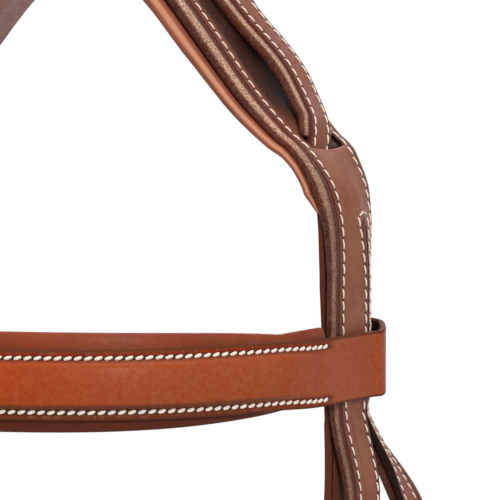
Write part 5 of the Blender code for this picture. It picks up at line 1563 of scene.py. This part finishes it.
def new_material(name):
    """A material with its graph, its shader, and object coordinates and the run attribute to read."""
    made = bpy.data.materials.new(name)
    made.use_nodes = True
    graph = Graph(made.node_tree)
    where = graph.add("ShaderNodeTexCoord").outputs["Object"]
    run = graph.add("ShaderNodeAttribute", attribute_name="run").outputs["Vector"]
    return made, graph, made.node_tree.nodes["Principled BSDF"], where, run


def constants(shader, **values):
    """Plain values on the shader's own sockets."""
    for key, value in values.items():
        shader.inputs[key.replace("_", " ")].default_value = value


def set_bump(graph, shader, height, depth):
    """Heights of 0 to 1, depth metres deep, as the shader's normal."""
    inputs = (("Height", height), ("Distance", depth), ("Strength", 1.0))
    graph.put(shader, "Normal", graph.fill("ShaderNodeBump", inputs))


# The tint of the leathers' reflections
WARM = (1.0, 0.78, 0.6, 1.0)
# Distances from a piece's middle between which it comes out of the browband's shelter, where the painted
# shade below the browband's raised middle fades out; the painted highlights along the rolls dim from the
# first to HIGHLIGHT_END, down to HIGHLIGHT_LEFT
SHELTER_START, SHELTER_END, HIGHLIGHT_END, HIGHLIGHT_LEFT = 0.104, 0.142, 0.150, 0.42


def strap_finish(name, face="strap", deep="strap_deep", margin=None, panel=None, shine=0.42, coat=0.05,
                 ends=None, seam=STITCH_MARGIN, groove=0.0007, mottle=0.25, front=None, sewn=None,
                 rim="edge", back="suede", paint_width=0.0006, shade=None):
    """Finished strap leather: a drifting, speckled face, painted edges, a raw back and a pressed seam.

    The colours face, deep, margin, rim, back, and those in panel, ends and shade, are names of
    settings. margin colours the strip outside the seam, and rim the painted edge, paint_width wide.
    panel has the distances from the piece's middle between which the crown's painted shade under
    the headstrap fades out; ends has those between which that of the ends comes in. shade has two distances
    below the strap's middle line between which a darker colour of painted shade comes in, its share and its
    name. Ahead of front the edge is left brown; beyond the distance sewn there is no seam.
    """
    made, graph, shader, where, run = new_material(name)
    grain = graph.group(grain_effect(), Vector=where, Scale=1300.0, Drift_Scale=55.0)
    edge = graph.group(edge_effect(), Run=run, Vector=where, Seam_Margin=seam, Seam_Width=groove,
                       Paint_Width=paint_width)
    along, across, inward = graph.parts(run)
    distance = graph.size(along)
    base = graph.mix(graph.times(grain["Drift"], 0.75), tone(face), tone(deep))
    if ends:
        base = graph.mix(graph.ramp(distance, *ends[:2], 0.0, 0.85), base, tone(ends[2]))
    sew = graph.ramp(distance, sewn, sewn + 0.004, 1.0, 0.0) if sewn else 1.0
    if margin:
        base = graph.mix(graph.times(edge["Margin"], graph.times(sew, 0.85)), base, tone(margin))
    # Painted shade: inside its seams the crown is darkened where the headstrap shades it, out to the given
    # distances from its middle
    if panel:
        crown = graph.ramp(distance, *panel[:2], 1.0, 0.0)
        inside = graph.ramp(inward, seam, seam + 0.0045)
        base = graph.mix(graph.times(crown, inside), base, tone(panel[2]))
    base = graph.mix(graph.times(grain["Speckle"], mottle), base, tone(deep))
    # Painted shade: a darker band below the strap's middle line, which fades out away from the middle
    if shade:
        low = graph.ramp(across, -shade[1], -shade[0], shade[2], 0.0)
        near = graph.ramp(distance, SHELTER_START, SHELTER_END, 1.0, 0.0)
        base = graph.mix(graph.times(low, near), base, tone(shade[3]))
    pressed = graph.times(edge["Seam"], sew)
    base = graph.mix(graph.times(pressed, 0.55), base, tone("edge"))
    base = graph.mix(graph.times(edge["Worn"], 0.25), base, tone("worn"))
    fleece = graph.noise(where, 2600.0, 3.0, 0.7)
    base = graph.mix(edge["Back"], base, graph.mix(fleece, tone(back), tone(back, 0.55)))
    paint = tone(rim)
    if front:
        ahead = graph.ramp(across, -front, 0.0004 - front, 1.0, 0.0)
        paint = graph.mix(ahead, paint, tone("margin", 0.8))
    graph.put(shader, "Base Color", graph.mix(edge["Paint"], base, paint))
    rough = graph.plus(shine, graph.times(grain["Drift"], 0.12))
    rough = graph.blend(edge["Paint"], rough, 0.7)
    graph.put(shader, "Roughness", graph.blend(edge["Back"], rough, 0.92))
    bare = graph.math("MAXIMUM", edge["Back"], edge["Paint"])
    graph.put(shader, "Coat Weight", graph.times(coat, graph.math("SUBTRACT", 1.0, bare)))
    constants(shader, Coat_Roughness=0.25, Specular_IOR_Level=0.11, Specular_Tint=WARM)
    height = graph.math("SUBTRACT", grain["Height"], graph.times(pressed, 3.0))
    set_bump(graph, shader, height, 0.00007)
    return made


def soft_finish(name, face, deep, crease, shine, gloss, pitch=0.0011, crest=None, under=None,
                specks=(0.42, 0.58, 0.12), beside=None):
    """Soft leather over padding: fine grain, slow colour drifts, and creases whose crests are mixed paler as
    a painted highlight.

    face and highlight are names of settings; deep, and under for the painted shade on the side that looks
    down, are shares of face, and beside one of the crown's margin, for the side by the seam. highlight
    colours the speckled stripe painted as a highlight along a roll: specks has the noise's values between
    which it comes in, and its least share. gloss is the shader's specular level.
    """
    made, graph, shader, where, run = new_material(name)
    grain = graph.group(grain_effect(), Vector=where, Scale=1500.0, Drift_Scale=45.0)
    folds = graph.group(crease_effect(), Run=run, Vector=where, Pitch=pitch)
    along, round_, near = graph.parts(run)
    # Painted highlight: the creases' crests are mixed paler, towards the worn colour
    pale = tuple(0.6 * x + 0.4 * y for x, y in zip(tone(face), tone("worn")))
    base = graph.mix(grain["Drift"], tone(face), tone(face, deep))
    base = graph.mix(graph.times(folds["Crest"], 0.2 * crease), base, pale)
    # Painted highlight: a speckled pale stripe along the roll, dimmer further from the middle
    if crest:
        speck = graph.ramp(graph.noise(where, 2900.0, 2.0, 0.8), *specks, 1.0)
        fade = graph.ramp(graph.size(along), SHELTER_START, HIGHLIGHT_END, 1.0, HIGHLIGHT_LEFT)
        share = graph.times(graph.ramp(near, 0.05, 0.75), graph.times(speck, fade))
        base = graph.mix(share, base, tone(crest))
    if beside:
        base = graph.mix(graph.ramp(round_, 0.08, 0.12, 1.0, 0.0), base, tone("margin", beside))
    # Painted shade on the side of the section that looks down
    if under:
        base = graph.mix(graph.ramp(round_, 0.15, 0.30), base, tone(face, under))
    graph.put(shader, "Base Color", base)
    graph.put(shader, "Roughness", graph.plus(shine, graph.times(grain["Speckle"], 0.12)))
    constants(shader, Coat_Weight=0.0, Specular_IOR_Level=gloss, Specular_Tint=WARM)
    height = graph.plus(graph.times(grain["Height"], 0.25), graph.times(folds["Height"], crease))
    set_bump(graph, shader, height, 0.00010)
    return made


def thread_finish(name):
    """Waxed thread: two twisted strands, paler on their crests with painted shade in the grooves between
    them, painted shade at the ends where the thread goes into the leather, and random soil.
    """
    made, graph, shader, where, run = new_material(name)
    along, round_, _ = graph.parts(run)
    turn = graph.plus(graph.times(along, 22.0), graph.times(round_, 2.6))
    strands = graph.math("MULTIPLY_ADD", graph.math("SINE", turn), 0.5, 0.5)
    soil = graph.ramp(graph.noise(where, 500.0, 2.0), 0.55, 0.85, 0.0, 0.3)
    # Painted shade: the grooves between the twisted strands are darker
    base = graph.mix(strands, tone("thread", 0.80), tone("thread"))
    # Painted shade at the stitch's ends, where the thread sinks into the leather
    ends = graph.ramp(graph.size(along), 0.42, 0.5, 0.0, 0.6)
    base = graph.mix(ends, base, tone("thread", 0.35))
    graph.put(shader, "Base Color", graph.mix(soil, base, tone("thread", 0.5)))
    constants(shader, Roughness=0.6)
    set_bump(graph, shader, strands, 0.00012)
    return made


def hole_shade_finish(name):
    """Painted shade: the dark inside of a needle hole, laid on as a flat dark mark."""
    made, graph, shader, where, _ = new_material(name)
    grain = graph.noise(where, 900.0, 2.0)
    graph.put(shader, "Base Color", graph.mix(grain, tone("edge"), tone("edge", 0.4)))
    constants(shader, Roughness=0.8)
    return made


def brass_finish(name):
    """Cast brass: polished, with faint clouds, fine scratches and small casting waves."""
    made, graph, shader, where, _ = new_material(name)
    tarnish = graph.ramp(graph.noise(where, 260.0, 3.0), 0.52, 0.75, 0.0, 0.55)
    graph.put(shader, "Base Color", graph.mix(tarnish, tone("brass"), tone("brass", 0.55)))
    scratch = graph.noise(graph.vector("MULTIPLY", where, (1.0, 1.0, 9.0)), 1500.0, 2.0)
    graph.put(shader, "Roughness", graph.plus(0.16, graph.times(scratch, 0.22)))
    constants(shader, Metallic=1.0)
    height = graph.plus(graph.times(scratch, 0.2), graph.noise(where, 420.0, 1.0))
    set_bump(graph, shader, height, 0.00006)
    return made


# Each finish's function, its settings and the name of its slot in the record
FINISHES = {
    "plain_leather": (strap_finish, {}, "strap_leather"),
    # The crown's panel entry paints the headstrap's shade on the crown
    "crown_leather": (strap_finish, {"margin": "margin", "front": 0.0074, "panel": (0.098, 0.114, "panel")},
                      "strap_leather"),
    # The headstrap's darker face is painted shade on the strap leather
    "headstrap_leather": (strap_finish, {"face": "headstrap", "seam": 0.0018, "front": 0.0052,
                                         "margin": "margin"}, "strap_leather"),
    # The browband's shade entry paints shade below its raised middle; its back takes the dark colour of the
    # painted shade under the headstrap
    "raised_leather": (strap_finish, {
        "face": "browband", "deep": "browband_deep", "shine": 0.40, "coat": 0.03,
        "ends": (0.018, 0.090, "browband_end"), "seam": 0.0026, "margin": "browband_margin",
        "groove": 0.0016, "mottle": 0.6, "sewn": BROWBAND_SEWN, "rim": "browband_rim_and_shade", "back": "panel",
        "paint_width": 0.0009, "shade": (0.0049, 0.0060, 0.8, "browband_rim_and_shade")}, "browband_leather"),
    # The rolls' highlight entry paints a highlight along their crests
    "roll_leather": (soft_finish, {"face": "roll", "deep": 0.6, "crease": 1.0, "pitch": 0.0006, "shine": 0.46,
                                   "gloss": 0.10, "crest": "roll_highlight", "beside": 0.8}, "dark_leather"),
    # The linings' under entry paints shade on their downward side
    "padding_leather": (soft_finish, {"face": "padding", "deep": 0.75, "crease": 0.25, "shine": 0.42,
                                      "gloss": 0.2, "under": 0.36}, "dark_leather"),
    # The pad's highlight entry paints its lit side
    "pad_leather": (soft_finish, {"face": "pad", "deep": 0.7, "crease": 0.12, "shine": 0.3, "gloss": 0.3,
                                  "crest": "pad_highlight", "specks": (0.2, 0.75, 0.6)}, "poll_pad"),
    "waxed_thread": (thread_finish, {}, None),
    "needle_hole": (hole_shade_finish, {}, None),
    "polished_brass": (brass_finish, {}, "brass"),
}


# What a user would change

# Stitches of the fine seams as a share of a strap's
FINE_SEWING = 0.8
# A needle hole's length and half width as shares of half the thread's width, and how flat it is
HOLE_LENGTH, HOLE_WIDTH, HOLE_FLAT = 2.6, 0.9, 0.12


def tint(name, description, red, green, blue):
    """A colour setting."""
    return bpy.props.FloatVectorProperty(name=name, description=description, default=colour(red, green, blue),
                                         subtype="COLOR", size=3, min=0.0, max=1.0)


def slant(name, description, degrees):
    """An angle setting."""
    return bpy.props.FloatProperty(name=name, description=description, default=math.radians(degrees),
                                   subtype="ANGLE")


def measure(name, description, value):
    """A length setting in metres."""
    return bpy.props.FloatProperty(name=name, description=description, default=value, min=0.0, unit="LENGTH",
                                   subtype="DISTANCE", precision=5)


class BridleSizes(bpy.types.PropertyGroup):
    """Sizes of the sewing and of the floor."""
    seam_pitch: measure("Seam pitch", "Distance from stitch to stitch on the straps", 0.0037)
    seam_length: measure("Seam stitch", "Length of a stitch on the straps", 0.0034)
    seam_thread: measure("Seam thread", "Half the width of the thread on the straps", 0.00033)
    seam_slant: slant("Seam slant", "Turn of each stitch on the straps", 9)
    band_pitch: measure("Band pitch", "Distance from stitch to stitch on the raised bands", 0.0029)
    band_length: measure("Band stitch", "Length of a stitch on the raised bands", 0.0027)
    band_thread: measure("Band thread", "Half the width of the thread on the raised bands", 0.00056)
    band_slant: slant("Band slant", "Turn of each stitch on the raised bands", 17)
    floor_size: measure("Floor size", "How far the floor reaches from the middle", 1.2)


class BridleColours(bpy.types.PropertyGroup):
    """Colours of the leathers, the thread, the brass and the floor."""
    strap: tint("Strap", "Face of the straps", 140, 84, 62)
    # A darker copy of the strap's face: painted shade over the headstrap
    headstrap: tint("Headstrap", "Face of the headstrap", 122, 69, 46)
    strap_deep: tint("Strap, deep", "Darker clouds in the straps", 116, 64, 46)
    margin: tint("Crown margin", "Strip outside the crown's seam", 96, 48, 36)
    # Painted shade on the crown under the headstrap; the browband's back takes the same dark colour
    panel: tint("Crown panel", "Crown under the headstrap", 38, 22, 16)
    # Painted edges; also the colour of the needle holes' painted shade
    edge: tint("Painted edge", "Painted edges and needle holes", 34, 16, 12)
    # Real wear at the edges; also mixed into the soft leathers' crease crests as a painted highlight
    worn: tint("Worn crest", "Where handling has worn the leather", 205, 165, 145)
    suede: tint("Raw back", "Flesh side of the straps", 140, 92, 72)
    roll: tint("Roll", "Padded rolls and linings of the crown", 78, 34, 22)
    # Painted highlight along the padded rolls
    roll_highlight: tint("Roll crest", "Rubbed stripe along the padded rolls", 205, 165, 140)
    padding: tint("Padding", "Padded linings of the bands", 126, 52, 28)
    pad: tint("Poll pad", "Soft pad on the poll", 138, 74, 54)
    # Painted highlight on the lit side of the poll pad
    pad_highlight: tint("Poll pad crest", "Lit side of the soft pad", 192, 132, 104)
    browband: tint("Browband", "Middle of the browband", 158, 62, 18)
    browband_deep: tint("Browband, deep", "Darker clouds in the browband", 142, 48, 18)
    browband_end: tint("Browband ends", "Browband towards its loops", 144, 74, 42)
    browband_margin: tint("Browband margin", "Strip outside the browband's seam", 104, 28, 12)
    # The browband's burnished edge, and also the colour of the painted shade below its raised middle
    browband_rim_and_shade: tint("Browband edge", "Burnished edge of the browband", 88, 44, 26)
    thread: tint("Thread", "Waxed thread", 250, 230, 212)
    brass: tint("Brass", "Buckles, rings and studs", 214, 178, 104)
    floor: tint("Floor", "Floor under the bridle", 236, 236, 238)


# Operators

def finish(name):
    """The finish of that name, made the first time it is asked for."""
    if name in bpy.data.materials:
        return bpy.data.materials[name]
    kind, settings, _ = FINISHES[name]
    return kind(name, **settings)


def dress(item, name, *nodes, body="bridle", fill=None):
    """Gives a piece its finish and the body that it rides on, and hides the imported nodes that it stands
    for.
    """
    item.data.materials.clear()
    item.data.materials.append(finish(name))
    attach(item, body)
    if nodes:
        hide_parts(*nodes)


def sewing(kind):
    """Pitch, stitch length, half the thread's width and slant of a kind of seam."""
    sizes = bpy.context.scene.bridle_sizes
    fine = [FINE_SEWING * size for size in (sizes.seam_length, sizes.seam_thread)]
    return {"seam": (sizes.seam_pitch, sizes.seam_length, sizes.seam_thread, sizes.seam_slant),
            "band": (sizes.band_pitch, sizes.band_length, sizes.band_thread, sizes.band_slant),
            "fine": (sizes.band_pitch, *fine, sizes.seam_slant)}[kind]


def sew(name, tracks, kind, body="bridle"):
    """Stitches along tracks, and the needle holes between them."""
    pitch, length, radius, turn = sewing(kind)
    rows = [seam(*track, pitch) for track in tracks]
    dress(stitches(name + "_stitches", rows, length, radius, turn), "waxed_thread", body=body)
    holes = [seam(*track, pitch, offset=0.0) for track in tracks]
    dress(stitches(name + "_needle_holes", holes, radius * HOLE_LENGTH, radius * HOLE_WIDTH, turn, HOLE_FLAT),
          "needle_hole", body=body)


class BRIDLE_OT_headpiece(bpy.types.Operator):
    """The crown leather with its slots and four tails, its linings and its seams"""
    bl_idname = "bridle.headpiece"
    bl_label = "Headpiece"

    def execute(self, context):
        item, head = make_headpiece()
        dress(item, "crown_leather", "headpiece_strap")
        dress(make_headpiece_lining(head), "roll_leather", "headpiece_lining", fill=0.7)
        for piece, (_, suffix) in zip(make_throat_linings(head), SIDES):
            dress(piece, "roll_leather", "throat_lining_" + suffix, fill=0.7)
        sew("headpiece", headpiece_seams(head), "seam")
        return {"FINISHED"}


class BRIDLE_OT_poll_pad(bpy.types.Operator):
    """The soft pad on the poll"""
    bl_idname = "bridle.poll_pad"
    bl_label = "Poll pad"

    def execute(self, context):
        dress(make_poll_pad(), "pad_leather", "poll_pad", fill=0.8)
        return {"FINISHED"}


class BRIDLE_OT_headstrap(bpy.types.Operator):
    """The noseband's headstrap over the crown, with its roll"""
    bl_idname = "bridle.headstrap"
    bl_label = "Headstrap"

    def execute(self, context):
        item, tracks = make_headstrap()
        dress(item, "headstrap_leather", "headstrap")
        dress(make_headstrap_lining(), "roll_leather", "headstrap_lining", fill=0.7)
        sew("headstrap", tracks, "seam")
        return {"FINISHED"}


class BRIDLE_OT_browband(bpy.types.Operator):
    """The raised browband with its end loops, its lining and its seams"""
    bl_idname = "bridle.browband"
    bl_label = "Browband"

    def execute(self, context):
        item, tracks, course = make_browband()
        dress(item, "raised_leather", "browband", body="browband")
        dress(make_browband_lining(*course), "padding_leather", "browband_lining", body="browband", fill=0.7)
        sew("browband", tracks, "band", "browband")
        return {"FINISHED"}


class BRIDLE_OT_cheekpieces(bpy.types.Operator):
    """Both cheekpieces with their billets, keepers and studs"""
    bl_idname = "bridle.cheekpieces"
    bl_label = "Cheekpieces"

    def execute(self, context):
        for side, suffix in SIDES:
            (item, tracks), stud, keeper = make_cheekpiece(side, suffix)
            dress(item, "plain_leather", "cheekpiece_" + suffix)
            dress(stud, "polished_brass", "billet_stud_" + suffix)
            dress(keeper, "plain_leather", "billet_keeper_" + suffix)
            sew("cheekpiece_" + suffix, tracks, "fine")
        return {"FINISHED"}


class BRIDLE_OT_buckles(bpy.types.Operator):
    """The six buckles, each with its frame, tongue, keeper and runner"""
    bl_idname = "bridle.buckles"
    bl_label = "Buckles and keepers"

    def execute(self, context):
        for key, line in buckle_lines().items():
            frame_piece, tongue = make_buckle(key, line)
            dress(frame_piece, "polished_brass", key + "_buckle_frame")
            dress(tongue, "polished_brass", key + "_buckle_tongue", body=key + "_buckle_tongue")
            half, top = line.width / 2, POINT + THICK / 2
            keeper = make_band(key + "_keeper_loop", line, -KEEPER_PLACE, UNDER - THICK / 2, top, half)
            dress(keeper, "plain_leather", key + "_keeper")
            runner = make_band(key + "_runner_loop", line, -RUNNER_PLACE, FOLD - THICK / 2, top, half)
            dress(runner, "plain_leather", key + "_runner", body=key + "_runner")
        return {"FINISHED"}


class BRIDLE_OT_throatlatch(bpy.types.Operator):
    """The strap under the throat"""
    bl_idname = "bridle.throatlatch"
    bl_label = "Throatlatch"

    def execute(self, context):
        item, tracks = make_throatlatch()
        dress(item, "plain_leather", "throatlatch")
        sew("throatlatch", tracks, "fine")
        return {"FINISHED"}


class BRIDLE_OT_noseband(bpy.types.Operator):
    """The noseband: nosepiece and lining, rings, side strap, jaw straps and jaw pad"""
    bl_idname = "bridle.noseband"
    bl_label = "Noseband"

    def execute(self, context):
        for side, suffix in SIDES:
            dress(make_ring(side, suffix), "polished_brass", "noseband_ring_" + suffix)
        dress(make_noseband_strap(), "plain_leather", "noseband_cheek_strap")
        item, tracks, lining = make_nose_strap()
        dress(item, "plain_leather", "nose_strap")
        dress(lining, "padding_leather", "nose_lining", fill=0.7)
        sew("nose_strap", tracks, "band")
        left, right, pad = make_jaw_straps()
        dress(left, "plain_leather", "jaw_strap_left")
        dress(right, "plain_leather", "jaw_strap_right")
        dress(pad, "roll_leather", "jaw_pad", fill=0.8)
        return {"FINISHED"}


class BRIDLE_OT_stage(bpy.types.Operator):
    """The pale floor, the soft light and the camera"""
    bl_idname = "bridle.stage"
    bl_label = "Stage"

    def execute(self, context):
        make_floor(context.scene.bridle_sizes.floor_size)
        make_world()
        make_lights()
        make_camera()
        context.scene.view_settings.view_transform = "Standard"
        return {"FINISHED"}


OPERATORS = (BRIDLE_OT_headpiece, BRIDLE_OT_poll_pad, BRIDLE_OT_headstrap, BRIDLE_OT_browband,
             BRIDLE_OT_cheekpieces, BRIDLE_OT_buckles, BRIDLE_OT_throatlatch, BRIDLE_OT_noseband,
             BRIDLE_OT_stage)


class BRIDLE_PT_panel(bpy.types.Panel):
    """The bridle's sizes, colours and operators in the 3D view's sidebar"""
    bl_idname = "BRIDLE_PT_panel"
    bl_label = "Horse bridle"
    bl_space_type = "VIEW_3D"
    bl_region_type = "UI"
    bl_category = "Bridle"

    def draw(self, context):
        for group in (context.scene.bridle_sizes, context.scene.bridle_colours):
            column = self.layout.column(align=True)
            for key in group.__annotations__:
                column.prop(group, key)
        column = self.layout.column(align=True)
        for operator in OPERATORS:
            column.operator(operator.bl_idname)


# Floor, light and camera

FLOOR_SIDES = 96
WORLD_LIGHT = 0.26
# Name, power in watts, size in metres, and place of each soft light, which looks at LIT
LIGHTS = (("key", 9.5, 0.22, (0.78, -0.98, 0.32)), ("fill", 5.5, 0.6, (-0.55, -1.00, 0.65)),
          ("top", 7.5, 0.6, (0.15, -0.10, 1.10)), ("side", 2.0, 0.6, (1.20, 0.20, 0.20)),
          ("rear", 6.0, 0.7, (-0.40, 1.20, 0.45)))
LIT = (0.03, -0.02, -0.12)
CAMERA_TURN, CAMERA_HEIGHT, CAMERA_DISTANCE = math.radians(30), math.radians(3), 1.0
CAMERA_TARGET = np.array((0.0750, -0.0297, -0.0941))


def link(name, data):
    """A new object in the scene."""
    item = bpy.data.objects.new(name, data)
    bpy.context.scene.collection.objects.link(item)
    return item


def make_floor(size):
    """A round pale floor at the bridle's lowest point, which fades out towards its rim."""
    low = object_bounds()[0][2]
    cos, sin = circle(FLOOR_SIDES)
    rim = np.stack([size * cos, size * sin, np.full(FLOOR_SIDES, low)], 1)
    mesh = bpy.data.meshes.new("floor")
    mesh.from_pydata(rim.tolist(), [], [list(range(FLOOR_SIDES))])
    floor = link("floor", mesh)
    made, graph, shader, where, _ = new_material("pale_floor")
    cloud = graph.times(graph.noise(where, 3.0, 2.0), 0.1)
    graph.put(shader, "Base Color", graph.mix(cloud, tone("floor"), tone("floor", 0.93)))
    constants(shader, Roughness=0.9)
    distance = graph.vector("LENGTH", graph.vector("MULTIPLY", where, (1.0, 1.0, 0.0)))
    graph.put(shader, "Alpha", graph.ramp(distance, 0.45 * size, 0.97 * size, 1.0, 0.0))
    mesh.materials.append(made)
    floor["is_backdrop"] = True


def make_world():
    """Plain light from all round; the camera, reflections and see-through parts find white."""
    world = bpy.data.worlds.new("studio")
    bpy.context.scene.world = world
    world.use_nodes = True
    graph = Graph(world.node_tree)
    light = world.node_tree.nodes["Background"]
    white = graph.add("ShaderNodeBackground")
    for shader, strength in ((light, WORLD_LIGHT), (white, 1.0)):
        constants(shader, Color=(1, 1, 1, 1), Strength=strength)
    rays = graph.add("ShaderNodeLightPath").outputs
    seen = rays["Is Camera Ray"]
    for ray in ("Is Glossy Ray", "Is Transmission Ray"):
        seen = graph.math("MAXIMUM", seen, rays[ray])
    inputs = enumerate((seen, light.outputs[0], white.outputs[0]))
    graph.put(world.node_tree.nodes["World Output"], "Surface", graph.fill("ShaderNodeMixShader", inputs))


def make_lights():
    """Soft square lamps round the bridle."""
    for name, power, size, place in LIGHTS:
        data = bpy.data.lights.new(name, "AREA")
        data.energy, data.size = power, size
        lamp = link(name, data)
        lamp.location = place
        away = mathutils.Vector(place) - mathutils.Vector(LIT)
        lamp.rotation_euler = away.to_track_quat("Z", "Y").to_euler()


def make_camera():
    """The photograph's view: close to the browband's left end, from the front left."""
    level = math.cos(CAMERA_HEIGHT)
    away = np.array([math.sin(CAMERA_TURN) * level, -math.cos(CAMERA_TURN) * level, math.sin(CAMERA_HEIGHT)])
    data = bpy.data.cameras.new("camera")
    data.lens, data.sensor_width = 240.0, 36.0
    data.clip_start, data.clip_end = 0.01, 20.0
    camera = link("camera", data)
    camera.location = CAMERA_TARGET + CAMERA_DISTANCE * away
    camera.rotation_euler = (math.pi / 2 - CAMERA_HEIGHT, 0, CAMERA_TURN)
    bpy.context.scene.camera = camera


# Registration

CLASSES = (BridleSizes, BridleColours, *OPERATORS, BRIDLE_PT_panel)


def register():
    """Registers the classes and their settings."""
    for item in CLASSES:
        bpy.utils.register_class(item)
    bpy.types.Scene.bridle_sizes = bpy.props.PointerProperty(type=BridleSizes)
    bpy.types.Scene.bridle_colours = bpy.props.PointerProperty(type=BridleColours)


def unregister():
    """Takes the classes and their settings away again."""
    del bpy.types.Scene.bridle_colours
    del bpy.types.Scene.bridle_sizes
    for item in reversed(CLASSES):
        bpy.utils.unregister_class(item)


def main():
    """Makes the whole bridle and its stage."""
    register()
    for operator in OPERATORS:
        getattr(bpy.ops.bridle, operator.bl_idname.split(".")[1])()


if __name__ == "__main__":
    main()
